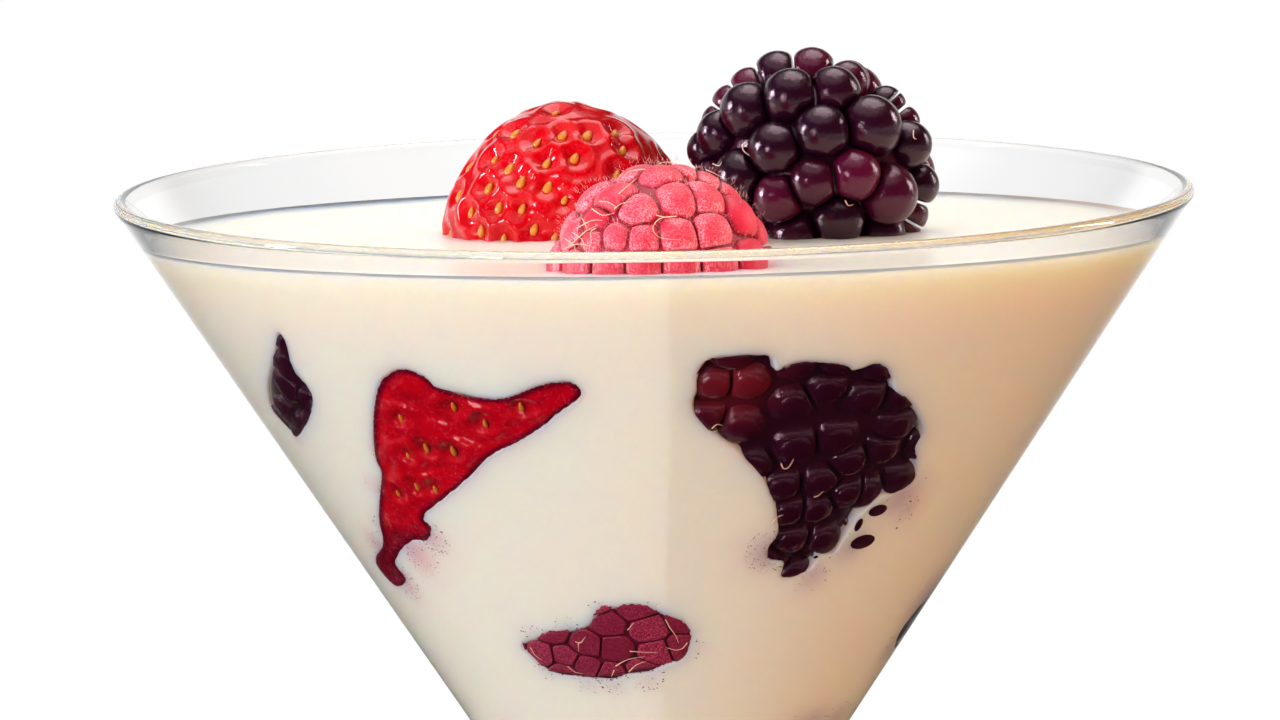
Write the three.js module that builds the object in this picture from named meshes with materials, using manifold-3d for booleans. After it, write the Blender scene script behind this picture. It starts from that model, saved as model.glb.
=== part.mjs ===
// A milk gelatin dessert with berries, set in a stemmed cocktail glass.
// Millimetres, +Z up. The origin is the centre of the foot's underside and the front faces -Y.
import * as THREE from 'three';
import { mergeVertices } from 'three/addons/utils/BufferGeometryUtils.js';
import Module from 'manifold-3d';

const wasm = await Module();
wasm.setup();

// ---- Driving dimensions: the glass ----
const RIM_RADIUS = 53;
const RIM_HEIGHT = 175;
const WALL = 1.1; // thickness, square to the wall
const LIP_RADIUS = 0.65; // rounding of the rim
const FLARE = 0.655; // radius gained per millimetre of height
const FLOOR_ROUNDING = 4; // radius at the bottom of the bowl's inside
const STEM_RADIUS = 3.8;
const FOOT_RADIUS = 38;
const FOOT_EDGE = 1.8; // thickness of the foot at its edge
const FOOT_RING = 6; // width of the flat ring that the glass stands on
const FOOT_HOLLOW = 1.2; // rise of the underside at the axis
const SIDES = 36; // flat sides of everything turned about the glass's axis

// ---- Driving dimensions: the gelatin ----
const FILL_DROP = 4.3; // surface below the rim, on the axis
const FILL_TILT = 0.034; // rise of the surface per millimetre towards the front
const MENISCUS_RISE = 0.4;
const MENISCUS_WIDTH = 2.4;
const GAP = 0.3; // clearance between touching pieces
const SKIN = 1.2; // depth of a sunken berry's face behind the glass
const RECESS = 1; // how much deeper a window goes than the berry's face

// ---- Driving dimensions: the berries ----
const SEED = [0.85, 0.5, 0.4]; // half length, half width and half height of a strawberry's seed
const BEADS = { bramble: 2.3, raspberry: 1.9 }; // radius of a drupelet
const SEED_PITCH = 4.4; // between the seeds of a strawberry
const PRESSED = 2.4; // how far a sunken berry's face bulges towards the glass

// ---- The slope of the bowl's wall ----
const WALL_LEAN = Math.atan(FLARE);
const WALL_COS = Math.cos(WALL_LEAN);
const INNER = WALL / 2; // the wall's inside, measured from its middle
const LIP_CENTRE = [RIM_RADIUS - LIP_RADIUS, RIM_HEIGHT - LIP_RADIUS];

// Radius, at height z, of a cone parallel to the bowl's wall and inset from the wall's middle.
const coneRadius = (z, inset) => LIP_CENTRE[0] - inset / WALL_COS - (LIP_CENTRE[1] - z) * FLARE;

// Height of that cone's point.
const coneBottom = (inset) => LIP_CENTRE[1] - (LIP_CENTRE[0] - inset / WALL_COS) / FLARE;

// Points of an arc in the (radius, height) plane; angles in radians.
function arc([radius, height], size, from, to, steps) {
  return Array.from({ length: steps + 1 }, (_, i) => {
    const angle = from + ((to - from) * i) / steps;
    return [radius + size * Math.cos(angle), height + size * Math.sin(angle)];
  });
}

// ---- Between three.js geometry and solids ----
// A geometry of bare positions, with the vertices that faces share merged into one.
function joined(geometry) {
  const bare = new THREE.BufferGeometry();
  bare.setAttribute('position', geometry.getAttribute('position'));
  bare.setIndex(geometry.index);
  return mergeVertices(bare, 1e-4);
}

function solidOf(geometry) {
  const merged = joined(geometry);
  const corners = [];
  for (let i = 0; i < merged.index.count; i += 3) {
    const [a, b, c] = merged.index.array.subarray(i, i + 3);
    if (a !== b && b !== c && c !== a) corners.push(a, b, c);
  }
  return new wasm.Manifold(new wasm.Mesh({
    numProp: 3,
    vertProperties: new Float32Array(merged.attributes.position.array),
    triVerts: new Uint32Array(corners),
  }));
}

// A solid from a geometry whose points are each moved to place(point).
function reshaped(geometry, place) {
  const merged = joined(geometry);
  const points = merged.attributes.position;
  for (let i = 0; i < points.count; i++) {
    points.setXYZ(i, ...place(new THREE.Vector3().fromBufferAttribute(points, i)));
  }
  return solidOf(merged);
}

function geometryOf(solid) {
  const mesh = solid.getMesh();
  const geometry = new THREE.BufferGeometry();
  geometry.setAttribute('position', new THREE.BufferAttribute(mesh.vertProperties, mesh.numProp));
  geometry.setIndex(new THREE.BufferAttribute(mesh.triVerts, 1));
  geometry.computeVertexNormals();
  return geometry;
}

const union = (solids) => solids.reduce((all, next) => all.add(next));

// A solid turned about Z from (radius, height) points that run from the bottom of its outside upwards.
function turned(points, sides = SIDES) {
  const profile = points.map(([radius, height]) => new THREE.Vector2(radius, height));
  return new THREE.LatheGeometry(profile, sides).rotateX(Math.PI / 2);
}

// A repeatable random number from 0 to 1.
function random(seed) {
  const wave = Math.sin(seed * 127.1 + 11.7) * 43758.5453;
  return wave - Math.floor(wave);
}

function finish(color, roughness, opacity = 1) {
  const transparent = opacity < 1;
  return new THREE.MeshStandardMaterial({ color, roughness, metalness: 0, opacity, transparent });
}

const CLEAR_GLASS = finish(0xf1f6f6, 0.04, 0.3);
const MILK_GELATIN = finish(0xf3e6cd, 0.35);
const SKINS = {
  bramble: finish(0x2b0a18, 0.15),
  raspberry: finish(0xc0203f, 0.6),
  strawberry: finish(0xc40d12, 0.25),
};

// ---- The glass ----
function glassSolid() {
  const footMiddle = FOOT_EDGE / 2;
  const ringOuter = FOOT_RADIUS - footMiddle;
  const ringInner = ringOuter - FOOT_RING;
  const bowlStart = coneBottom(-INNER) + 12; // where the stem has widened into the bowl
  return solidOf(turned([
    [0, FOOT_HOLLOW],
    [ringInner - 1.5, FOOT_HOLLOW / 4],
    [ringInner, 0],
    ...arc([ringOuter, footMiddle], footMiddle, -Math.PI / 2, Math.PI / 2, 3),
    [30, 2.4], [21, 3.3], [13, 5], [8.5, 8], [5.8, 12.5], [4.5, 19],
    [STEM_RADIUS, 32], [STEM_RADIUS, bowlStart - 20],
    [4.1, bowlStart - 13], [4.8, bowlStart - 7.5], [6, bowlStart - 3.2],
    [coneRadius(bowlStart, -INNER), bowlStart],
    ...arc(LIP_CENTRE, LIP_RADIUS, -WALL_LEAN, Math.PI - WALL_LEAN, 4),
    ...bowlFloor(0).reverse(),
  ]));
}

// The rounded bottom of the bowl's inside, inset by some clearance, from the axis outwards.
function bowlFloor(clearance) {
  const middle = coneBottom(INNER) + FLOOR_ROUNDING / Math.sin(WALL_LEAN);
  return arc([0, middle], FLOOR_ROUNDING - clearance, -Math.PI / 2, -WALL_LEAN, 3);
}

// ---- The gelatin before the berries are pressed into it ----
const surfaceHeight = (y) => RIM_HEIGHT - FILL_DROP - FILL_TILT * y;

function gelatinSolid() {
  const level = surfaceHeight(0);
  const edge = coneRadius(level + MENISCUS_RISE, INNER + GAP);
  const geometry = turned([
    ...bowlFloor(GAP),
    [edge, level + MENISCUS_RISE],
    [edge - MENISCUS_WIDTH / 3, level + MENISCUS_RISE / 4],
    [edge - MENISCUS_WIDTH, level],
    [0, level],
  ]);
  return reshaped(geometry, (point) => {
    if (point.z < level - 0.01) return point;
    const rise = surfaceHeight(point.y) - level;
    const radius = Math.max(Math.hypot(point.x, point.y), 1);
    const spread = 1 + (rise * FLARE) / radius; // follows the wall outwards as it rises
    return new THREE.Vector3(point.x * spread, point.y * spread, point.z + rise);
  });
}

// A solid cone parallel to the bowl's wall, for clipping what lies behind the glass.
function cone(inset) {
  const top = RIM_HEIGHT + 30;
  return solidOf(turned([[0, coneBottom(inset)], [coneRadius(top, inset), top], [0, top]]));
}

// ---- Whole berries. Their long axis is X, and a strawberry's tip points to +X ----
const ellipsoid = (halves) => solidOf(new THREE.SphereGeometry(1, 16, 10).scale(...halves));

// Points spread evenly over an ellipsoid, turning round its long axis.
function spread(halves, pitch) {
  const mean = Math.cbrt(halves[0] * halves[1] * halves[2]);
  const count = Math.round((4 * Math.PI * mean * mean) / (0.866 * pitch * pitch));
  return Array.from({ length: count }, (_, i) => {
    const along = 1 - (2 * (i + 0.5)) / count;
    const across = Math.sqrt(1 - along * along);
    const turn = i * Math.PI * (3 - Math.sqrt(5));
    const [x, y, z] = [along, across * Math.cos(turn), across * Math.sin(turn)];
    return new THREE.Vector3(x * halves[0], y * halves[1], z * halves[2]);
  });
}

// A berry of drupelets: each ray from its middle goes out to the core or to the farthest drupelet.
function drupeletBerry({ halves, bead, pitch, detail, seed }) {
  const seat = halves.map((half) => half - bead);
  const beads = spread(seat, pitch).map((middle, i) => ({
    middle, size: bead * (0.92 + 0.14 * random(seed + i)),
  }));
  const core = new THREE.IcosahedronGeometry(1, detail).scale(...seat);
  const solid = reshaped(core, (point) => {
    const ray = point.clone().normalize();
    const reach = beads.map(({ middle, size }) => {
      const along = middle.dot(ray);
      const overlap = size ** 2 - middle.lengthSq() + along ** 2;
      return overlap > 0 ? along + Math.sqrt(overlap) : 0;
    });
    return ray.multiplyScalar(Math.max(point.length() + 0.3 * bead, ...reach));
  });
  return { solid, pocket: ellipsoid(halves.map((half) => half + 3 * GAP)) };
}

// Half width of a strawberry, as a share of its widest, at a share of its length towards the tip.
function strawberryWidth(share) {
  const widest = 0.43;
  if (share < widest) return Math.sqrt(1 - ((widest - share) / widest) ** 2);
  return Math.max(Math.cos((((share - widest) / (1 - widest)) * Math.PI) / 2), 0) ** 0.32;
}

function strawberryBody([length, deep, wide], grow) {
  const rings = 10;
  const profile = Array.from({ length: rings + 1 }, (_, i) => {
    const share = (1 - Math.cos((Math.PI * i) / rings)) / 2;
    return [strawberryWidth(share), (share - 0.5) * (2 * (length + grow))];
  });
  profile[0][0] = 0;
  profile[rings][0] = 0;
  return solidOf(turned(profile, 20).rotateY(Math.PI / 2).scale(1, deep + grow, wide + grow));
}

// A strawberry with the seeds that stand clear of the gelatin.
function strawberry({ halves }, shows) {
  const [long, deep, wide] = halves;
  const seeds = [];
  const bands = Math.floor((2 * long) / SEED_PITCH);
  for (let band = 1; band < bands; band++) {
    const share = band / bands;
    const width = strawberryWidth(share);
    const slope = (strawberryWidth(share + 0.02) - strawberryWidth(share - 0.02)) / 0.04;
    const round = Math.max(4, Math.round((2 * Math.PI * width * deep) / SEED_PITCH));
    for (let i = 0; i < round; i++) {
      const turn = (2 * Math.PI * (i + (band % 2) / 2 + 0.3 * random(band * 31 + i))) / round;
      const at = new THREE.Vector3(
        (share - 0.5) * 2 * long, width * deep * Math.cos(turn), width * wide * Math.sin(turn));
      if (!shows(at)) continue;
      const seed = new THREE.OctahedronGeometry(1).scale(SEED[0], SEED[2], SEED[1]);
      seed.rotateZ(Math.atan((slope * deep) / (2 * long))).rotateX(turn).translate(...at);
      seeds.push(solidOf(seed));
    }
  }
  return {
    solid: union([strawberryBody(halves, 0), ...seeds]),
    pocket: strawberryBody(halves, SEED[2] + GAP),
  };
}

// The berries on top: the middle of each, and its rotation about X, Y and Z in degrees.
const TOP_BERRIES = [
  {
    name: 'bramble_top', kind: 'bramble', make: drupeletBerry,
    at: [15.5, -6, 177.4], rotate: [20, 3, -18],
    form: { halves: [12.9, 11.4, 11.8], bead: BEADS.bramble, pitch: 4.4, detail: 8, seed: 3 },
  },
  {
    name: 'raspberry_top', kind: 'raspberry', make: drupeletBerry,
    at: [0.6, -36, 172.4], rotate: [0, -4, 205],
    form: { halves: [10.6, 8.6, 8.7], bead: BEADS.raspberry, pitch: 3.6, detail: 6, seed: 40 },
  },
  {
    name: 'strawberry_top', kind: 'strawberry', make: strawberry,
    at: [-8.9, -0.6, 171.6], rotate: [0, -65, 20],
    form: { halves: [11.5, 11.4, 11.4] },
  },
];

// The berries sunk against the glass, each seen through a window in the gelatin. azimuth is in
// degrees from the front towards +X, and drop is how far the middle lies below the rim. halves is
// the half length, half depth and half width, and lean turns the length up from level, in degrees.
// outline is the window, as places on the wall: [along its girth, up its slope] from that middle.
const WALL_BERRIES = [
  {
    name: 'strawberry_wall', kind: 'strawberry', azimuth: -39.4, drop: 23.5, halves: [24, 8, 9], lean: 37,
    outline: [[4.8, 13.4], [1.7, 11.4], [-0.3, 7.8], [-3.4, 1.6], [-6.2, -3.6], [-11.1, -10],
      [-16.8, -13.4], [-15.6, -15.6], [-11.5, -13.8], [-8, -10.4], [-3.2, -8.8], [-0.8, -6.8],
      [-0.7, -5], [2.9, -2.6], [10, 3.2], [15.6, 7.2], [19.2, 11], [18, 12.7], [13.1, 10.5],
      [9.5, 10.6], [6.6, 12.4]],
  },
  {
    name: 'bramble_wall', kind: 'bramble', azimuth: 23, drop: 22.3, halves: [19, 6.4, 13.5], lean: -50,
    outline: [[-11.9, 12.2], [-10.4, 13.9], [-7.4, 14.2], [-4.4, 12.5], [-2.4, 13.1], [0.2, 12.3],
      [1.6, 11.3], [3.4, 12], [5, 10.2], [8.4, 6.4], [10.6, 3], [10.8, 0.8], [12.1, -2.4], [10, -4.9],
      [9.6, -7.6], [11.2, -10.6], [7.4, -11.8], [3.8, -12], [3, -14], [0.2, -13.8], [-2.4, -11.2],
      [-2.3, -8.6], [-4.2, -3.4], [-8.8, 3], [-12, 7.4]],
  },
  {
    name: 'raspberry_wall', kind: 'raspberry', azimuth: -12.5, drop: 40.8, halves: [12, 6, 8], lean: 6,
    outline: [[-8.3, -0.7], [-5.6, 0.5], [-1.2, 2.1], [0.9, 4.2], [3.8, 4.7], [5.6, 3.9], [8.3, 1.2],
      [7.9, -1.6], [5.4, -3.1], [0.6, -4.6], [-5.4, -4.2], [-7.4, -2.6]],
  },
  {
    name: 'bramble_left', kind: 'bramble', azimuth: -58.2, drop: 15.4, halves: [10.8, 5, 5.4], lean: 45,
    outline: [[6.2, 7.3], [5.4, 4], [5.1, 0], [3.6, -2.8], [-3.8, -7.3], [-5.8, -6.8], [-6.1, -4.2],
      [-3.9, -1.6], [0.4, 1.7], [4.2, 5.3]],
  },
  {
    name: 'bramble_right', kind: 'bramble', azimuth: 80, drop: 41, halves: [7.5, 4.5, 6.5], lean: 50,
    outline: [[-4.4, -2.2], [-3.4, 0.4], [-1.6, 1.6], [0.4, 4.6], [3.6, 4], [4.6, 0], [2.6, -4],
      [-1.4, -4.6]],
  },
  {
    name: 'raspberry_low', kind: 'raspberry', azimuth: 54, drop: 54.6, halves: [6.5, 4.5, 6], lean: 0,
    outline: [[-3.2, 2.6], [-0.6, 3.6], [2.2, 3], [3.6, 0.6], [2.4, -2.6], [-0.8, -3.4], [-3.4, -1.2]],
  },
  {
    name: 'raspberry_rear', kind: 'raspberry', azimuth: 142, drop: 19, halves: [11.5, 6, 9], lean: 8,
    outline: [[-7.4, -1.6], [-5.6, 3], [-1.6, 4.4], [2.4, 5.6], [6.8, 3.2], [7.2, -1.8], [3, -4.8],
      [-3.4, -5]],
  },
  {
    name: 'strawberry_rear', kind: 'strawberry', azimuth: 190, drop: 29, halves: [15, 7, 12], lean: -72,
    outline: [[-7.6, 8], [-2.6, 8.8], [2.2, 7], [7.2, 8.6], [8.4, 5.2], [4.4, -0.6], [2.4, -6.8],
      [-0.8, -9.8], [-2.8, -6.4], [-6.2, -0.8], [-8.8, 4]],
  },
  {
    name: 'bramble_rear', kind: 'bramble', azimuth: 240, drop: 21, halves: [12, 6.5, 10], lean: 20,
    outline: [[-7.2, 3.8], [-3.2, 7.2], [1.4, 6.8], [5.4, 5.4], [7.4, 0.8], [5, -4.2], [0.6, -7],
      [-2.8, -5], [-4.2, -1]],
  },
];

// How far round the bowl, in radians, a distance along the girth of a berry's middle goes.
const girthAngle = (berry, along) => along / coneRadius(RIM_HEIGHT - berry.drop, INNER);

// A place on the wall, at a depth, in a frame turned to the berry: the outside is towards -Y.
function behindGlass(berry, [along, up], inset) {
  const height = RIM_HEIGHT - berry.drop + up * WALL_COS;
  const turn = girthAngle(berry, along);
  const radius = coneRadius(height, inset);
  return new THREE.Vector3(radius * Math.sin(turn), -radius * Math.cos(turn), height);
}

// A neighbour-to-neighbour grid of places, every other row shifted by half a step.
function staggered([along, up], pitch) {
  const row = Math.round(up / (0.866 * pitch));
  return [-1, 0, 1].map((step) => {
    const shift = Math.abs((row + step) % 2) / 2;
    return [(Math.round(along / pitch - shift) + shift) * pitch, (row + step) * 0.866 * pitch];
  });
}

// How deep the surface lies below the crowns of close drupelets.
function drupeletDip(place, bead) {
  const crowns = staggered(place, 1.85 * bead);
  const away = Math.min(...crowns.map(([along, up]) => Math.hypot(along - place[0], up - place[1])));
  return bead - Math.sqrt(Math.max(bead ** 2 - away ** 2, 0.09 * bead ** 2));
}

// A sunken berry follows the wall: its front is pressed nearly flat and its back is round.
function sunkenForm(berry, grow, rings, sides) {
  const [long, deep, wide] = berry.halves.map((half) => half + grow);
  const lean = THREE.MathUtils.degToRad(berry.lean);
  const ball = turned(arc([0, 0], 1, -Math.PI / 2, Math.PI / 2, rings), sides).rotateX(-Math.PI / 2);
  return reshaped(ball, ({ x, y, z }) => {
    const place = [long * x * Math.cos(lean) - wide * z * Math.sin(lean),
      long * x * Math.sin(lean) + wide * z * Math.cos(lean)];
    const bead = BEADS[berry.kind];
    const dip = bead && grow === 0 && y < -0.2 ? drupeletDip(place, bead) : 0;
    const depth = y < 0 ? PRESSED * (1 + y) - grow : PRESSED - grow + (deep + grow) * y;
    return behindGlass(berry, place, INNER + SKIN + depth + dip);
  });
}

// Seeds on a face that presses against the glass, within the window.
function pressedSeeds(berry) {
  const [long, , wide] = berry.halves;
  const lean = THREE.MathUtils.degToRad(berry.lean);
  const reach = Math.ceil(long / SEED_PITCH);
  const steps = Array.from({ length: 2 * reach + 1 }, (_, i) => (i - reach) * SEED_PITCH);
  const places = steps.flatMap((up, row) =>
    steps.map((along) => [along + ((row % 2) * SEED_PITCH) / 2, up]));
  return places.filter((place) => insideOutline(berry.outline, place)).map(([along, up]) => {
    const x = (along * Math.cos(lean) + up * Math.sin(lean)) / long;
    const z = (up * Math.cos(lean) - along * Math.sin(lean)) / wide;
    const sag = PRESSED * (1 - Math.sqrt(Math.max(1 - x * x - z * z, 0)));
    const seed = new THREE.OctahedronGeometry(1).scale(SEED[1], SEED[2], SEED[0]);
    seed.rotateX(WALL_LEAN).rotateZ(girthAngle(berry, along));
    return solidOf(seed.translate(...behindGlass(berry, [along, up], INNER + SKIN + sag + SEED[2] / 2)));
  });
}

// True where a place lies inside an outline and clear of its corners.
function insideOutline(outline, [x, y]) {
  let inside = false;
  outline.forEach(([ax, ay], i) => {
    const [bx, by] = outline[(i + 1) % outline.length];
    if (ay > y !== by > y && x < ax + ((bx - ax) * (y - ay)) / (by - ay)) inside = !inside;
  });
  return inside && outline.every(([ax, ay]) => Math.hypot(ax - x, ay - y) > 1.3);
}

function sunkenBerry(berry) {
  const steps = Math.round(berry.halves[0] / 1.5);
  if (berry.kind === 'strawberry') {
    return union([sunkenForm(berry, 0, 8, steps + 8), ...pressedSeeds(berry)]);
  }
  return sunkenForm(berry, 0, steps + 4, 2 * steps + 8);
}

// What a sunken berry takes out of the gelatin: its pocket, and its window through to the glass.
function berryHollow(berry) {
  const shape = new THREE.Shape(berry.outline.map((place) => {
    const { x, z } = behindGlass(berry, place, INNER);
    return new THREE.Vector2(x, z);
  }));
  const behind = coneRadius(RIM_HEIGHT - berry.drop, INNER) * 0.35; // starts well inside the wall
  const window = new THREE.ExtrudeGeometry(shape, { depth: RIM_RADIUS, bevelEnabled: false, steps: 1 });
  window.rotateX(Math.PI / 2).translate(0, -behind, 0);
  const sides = 8 + Math.round(berry.halves[0] / 2);
  const roomier = { ...berry, halves: berry.halves.map((half) => 1.06 * half) }; // its flats cut inwards
  const pocket = sunkenForm(roomier, 2 * GAP, 6, sides);
  return pocket.add(solidOf(window).subtract(cone(INNER + SKIN + RECESS)));
}

// ---- Assembly ----
const dessert = new THREE.Group();

function addPiece(parent, name, solid, material) {
  const mesh = new THREE.Mesh(geometryOf(solid), material);
  mesh.name = name;
  parent.add(mesh);
}

addPiece(dessert, 'glass', glassSolid(), CLEAR_GLASS);

let gelatin = gelatinSolid();

for (const { name, kind, make, at, rotate, form } of TOP_BERRIES) {
  const seat = new THREE.Group();
  seat.position.set(...at);
  seat.rotation.set(...rotate.map(THREE.MathUtils.degToRad));
  seat.updateMatrix();
  const { solid, pocket } = make(form, ({ x, y, z }) => {
    const placed = new THREE.Vector3(x, y, z).applyMatrix4(seat.matrix);
    return placed.z > surfaceHeight(placed.y) - SEED[0];
  });
  addPiece(seat, name, solid, SKINS[kind]);
  dessert.add(seat);
  gelatin = gelatin.subtract(solidOf(geometryOf(pocket).applyMatrix4(seat.matrix)));
}

for (const berry of WALL_BERRIES) {
  const side = new THREE.Group();
  side.rotation.z = THREE.MathUtils.degToRad(berry.azimuth);
  addPiece(side, berry.name, sunkenBerry(berry), SKINS[berry.kind]);
  dessert.add(side);
  gelatin = gelatin.subtract(berryHollow(berry).rotate([0, 0, berry.azimuth]));
}

addPiece(dessert, 'gelatin', gelatin, MILK_GELATIN);

export default dessert;
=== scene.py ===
# A milk gelatin dessert with berries, set in a stemmed cocktail glass.
import math

import bmesh
import bpy
import numpy as np
from mathutils import Matrix, Vector
from mathutils.bvhtree import BVHTree
from mathutils.geometry import delaunay_2d_cdt


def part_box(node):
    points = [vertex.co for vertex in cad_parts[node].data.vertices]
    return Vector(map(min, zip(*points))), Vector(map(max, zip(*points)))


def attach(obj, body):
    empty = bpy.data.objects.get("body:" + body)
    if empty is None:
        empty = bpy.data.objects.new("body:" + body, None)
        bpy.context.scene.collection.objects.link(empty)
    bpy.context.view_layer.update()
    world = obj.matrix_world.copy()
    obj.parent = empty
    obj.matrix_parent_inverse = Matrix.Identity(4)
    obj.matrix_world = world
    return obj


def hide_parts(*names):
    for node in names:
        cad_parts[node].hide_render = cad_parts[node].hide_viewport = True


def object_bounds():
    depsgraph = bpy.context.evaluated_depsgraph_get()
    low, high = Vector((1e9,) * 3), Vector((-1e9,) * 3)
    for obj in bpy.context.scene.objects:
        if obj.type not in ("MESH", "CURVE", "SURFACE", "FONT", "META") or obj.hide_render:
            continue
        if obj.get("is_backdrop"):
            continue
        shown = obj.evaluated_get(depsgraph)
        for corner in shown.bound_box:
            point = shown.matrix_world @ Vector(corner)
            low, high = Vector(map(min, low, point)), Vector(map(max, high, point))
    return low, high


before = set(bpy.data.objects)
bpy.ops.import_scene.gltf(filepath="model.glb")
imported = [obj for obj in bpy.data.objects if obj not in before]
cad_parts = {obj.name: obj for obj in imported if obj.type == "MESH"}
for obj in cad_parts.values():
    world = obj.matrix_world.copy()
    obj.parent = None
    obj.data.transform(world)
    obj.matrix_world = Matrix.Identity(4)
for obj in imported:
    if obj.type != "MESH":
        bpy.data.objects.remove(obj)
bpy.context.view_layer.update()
scene = bpy.context.scene

# Lengths are in millimetres, in the frame's axes, and become metres as each mesh is made.
MM = 0.001

# ---- The glass ----
WALL = 1.1
LIP_RADIUS = 0.65
FLARE = 0.655  # radius gained for each millimetre of height
FLOOR_ROUNDING = 4
STEM_RADIUS = 3.8
FOOT_RADIUS = 38
FOOT_EDGE = 1.8
FOOT_RING = 6
FOOT_HOLLOW = 1.2
GLASS_SIDES = 256

# ---- The gelatin ----
FILL_DROP = 4.3  # surface below the rim, on the axis
FILL_TILT = 0.034  # rise of the surface for each millimetre towards the front
MENISCUS_RISE = 0.4
MENISCUS_WIDTH = 1.6
INTO_WALL = 0.25  # how far the gelatin reaches into the glass, so that no air shows between them
RECESS = 2.6  # depth of a window, where the berry shows instead of gelatin
EDGE_ROUNDING = 0.15  # of a window's rim

# ---- The berries ----
SEED = (0.66, 0.38, 0.32)  # half length, half width and half height of a strawberry's seed
SUNKEN_SEED = (0.58, 0.24, 0.26)
PRESSED = 2.4  # depth of a sunken berry's widest ring behind its face
SKIN = -0.28  # depth of that face behind the glass's inside: just proud of the gelatin
SEED_PITCH = 3.4
SEED_SINK = 0.42  # how deep a seed's middle lies in the skin
HAIR_RADIUS = 0.055
WALL_HAIR_RADIUS = 0.07
FUZZ_LENGTH = 0.4
FUZZ_RADIUS = 0.017
SUNKEN_TALL = 0.9  # a sunken drupelet's height for its width
CLING_RISE = 0.25  # of the gelatin's surface beside a berry
CLING_REACH = 0.9


# ======== Shapes ========
class Shape:
    """Points in millimetres, faces as rows of corner numbers, and a tone and a crown for each point."""

    def __init__(self, points, faces, tone=0.5, crown=0.0, part=0):
        self.points = np.asarray(points, float).reshape(-1, 3)
        self.faces = [list(face) for face in faces]
        self.tone = np.broadcast_to(tone, len(self.points)).astype(float)
        self.crown = np.broadcast_to(crown, len(self.points)).astype(float)
        self.parts = np.broadcast_to(part, len(self.faces)).astype(int)


def together(shapes):
    """One shape of several."""
    faces, start = [], 0
    for shape in shapes:
        faces += [[corner + start for corner in face] for face in shape.faces]
        start += len(shape.points)
    whole = Shape(np.concatenate([shape.points for shape in shapes]), faces)
    whole.tone = np.concatenate([shape.tone for shape in shapes])
    whole.crown = np.concatenate([shape.crown for shape in shapes])
    whole.parts = np.concatenate([shape.parts for shape in shapes])
    return whole


def add_piece(name, shape, looks, node, slot, **tones):
    """A mesh object of a shape that rides on the dessert and stands for a CAD node."""
    mesh = bpy.data.meshes.new(name)
    mesh.from_pydata((shape.points * MM).tolist(), [], shape.faces)
    for look in looks:
        mesh.materials.append(look)
    mesh.polygons.foreach_set("material_index", shape.parts)
    for tone, values in {"tone": shape.tone, "crown": shape.crown, **tones}.items():
        mesh.attributes.new(tone, "FLOAT", "POINT").data.foreach_set("value", values.astype(np.float32))
    mesh.shade_smooth()
    piece = bpy.data.objects.new(name, mesh)
    scene.collection.objects.link(piece)
    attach(piece, "root")
    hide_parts(node)
    return piece


def add_berry(name, berry, shape, looks):
    add_piece(name + "_fruit", shape, looks, name, berry["kind"])


def weld(piece):
    """Joins a piece's touching edges and turns its faces outwards."""
    made = bmesh.new()
    made.from_mesh(piece.data)
    bmesh.ops.remove_doubles(made, verts=made.verts, dist=0.005 * MM)
    bmesh.ops.recalc_face_normals(made, faces=made.faces)
    made.to_mesh(piece.data)
    made.free()
    piece.data.set_sharp_from_angle(angle=math.radians(100))


def ring_faces(rings, sides, start=0):
    """Faces between rings of points that follow one another, each ring with its ends joined."""
    faces = []
    for low in range(start, start + (rings - 1) * sides, sides):
        for i in range(sides):
            j = (i + 1) % sides
            faces.append((low + i, low + j, low + sides + j, low + sides + i))
    return faces


def fan_faces(start, sides, hub):
    """Faces between a ring of points and one point."""
    return [(start + i, start + (i + 1) % sides, hub) for i in range(sides)]


def turned(profile, sides):
    """A closed shape turned about Z from (radius, height) points that start and end on the axis."""
    angles = np.arange(sides) * (2 * math.pi / sides)
    rings = [(radius * np.cos(angles), radius * np.sin(angles), np.full(sides, height))
             for radius, height in profile[1:-1]]
    around = np.stack(rings).transpose(0, 2, 1).reshape(-1, 3)
    points = [[0, 0, profile[0][1]], *around, [0, 0, profile[-1][1]]]
    last = len(points) - 1
    faces = [(0, 1 + (i + 1) % sides, 1 + i) for i in range(sides)]
    faces += ring_faces(len(rings), sides, 1) + fan_faces(last - sides, sides, last)
    return Shape(points, faces)


def arc(middle, size, start, end, steps):
    """Points of an arc in the (radius, height) plane."""
    return [(middle[0] + size * math.cos(a), middle[1] + size * math.sin(a))
            for a in np.linspace(start, end, steps + 1)]


def smooth_curve(points, steps, closed=False):
    """A Catmull-Rom curve through points."""
    points = np.asarray(points, float)
    count = len(points)
    curve = []
    for i in range(count if closed else count - 1):
        picks = [i - 1, i, i + 1, i + 2]
        if closed:
            a, b, c, d = (points[k % count] for k in picks)
        else:
            a, b, c, d = (points[min(max(k, 0), count - 1)] for k in picks)
        for t in np.arange(steps) / steps:
            curve.append(b + 0.5 * t * (c - a + t * (2 * a - 5 * b + 4 * c - d + t * (3 * (b - c) + d - a))))
    if not closed:
        curve.append(points[-1])
    return np.array(curve)


def ball(subdivisions):
    """The points and faces of a unit sphere of even triangles."""
    made = bmesh.new()
    bmesh.ops.create_icosphere(made, subdivisions=subdivisions, radius=1)
    points = np.array([v.co for v in made.verts])
    faces = [[v.index for v in f.verts] for f in made.faces]
    made.free()
    return points, faces


def unit_rows(rows):
    return rows / np.linalg.norm(rows, axis=1)[:, None]


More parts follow.
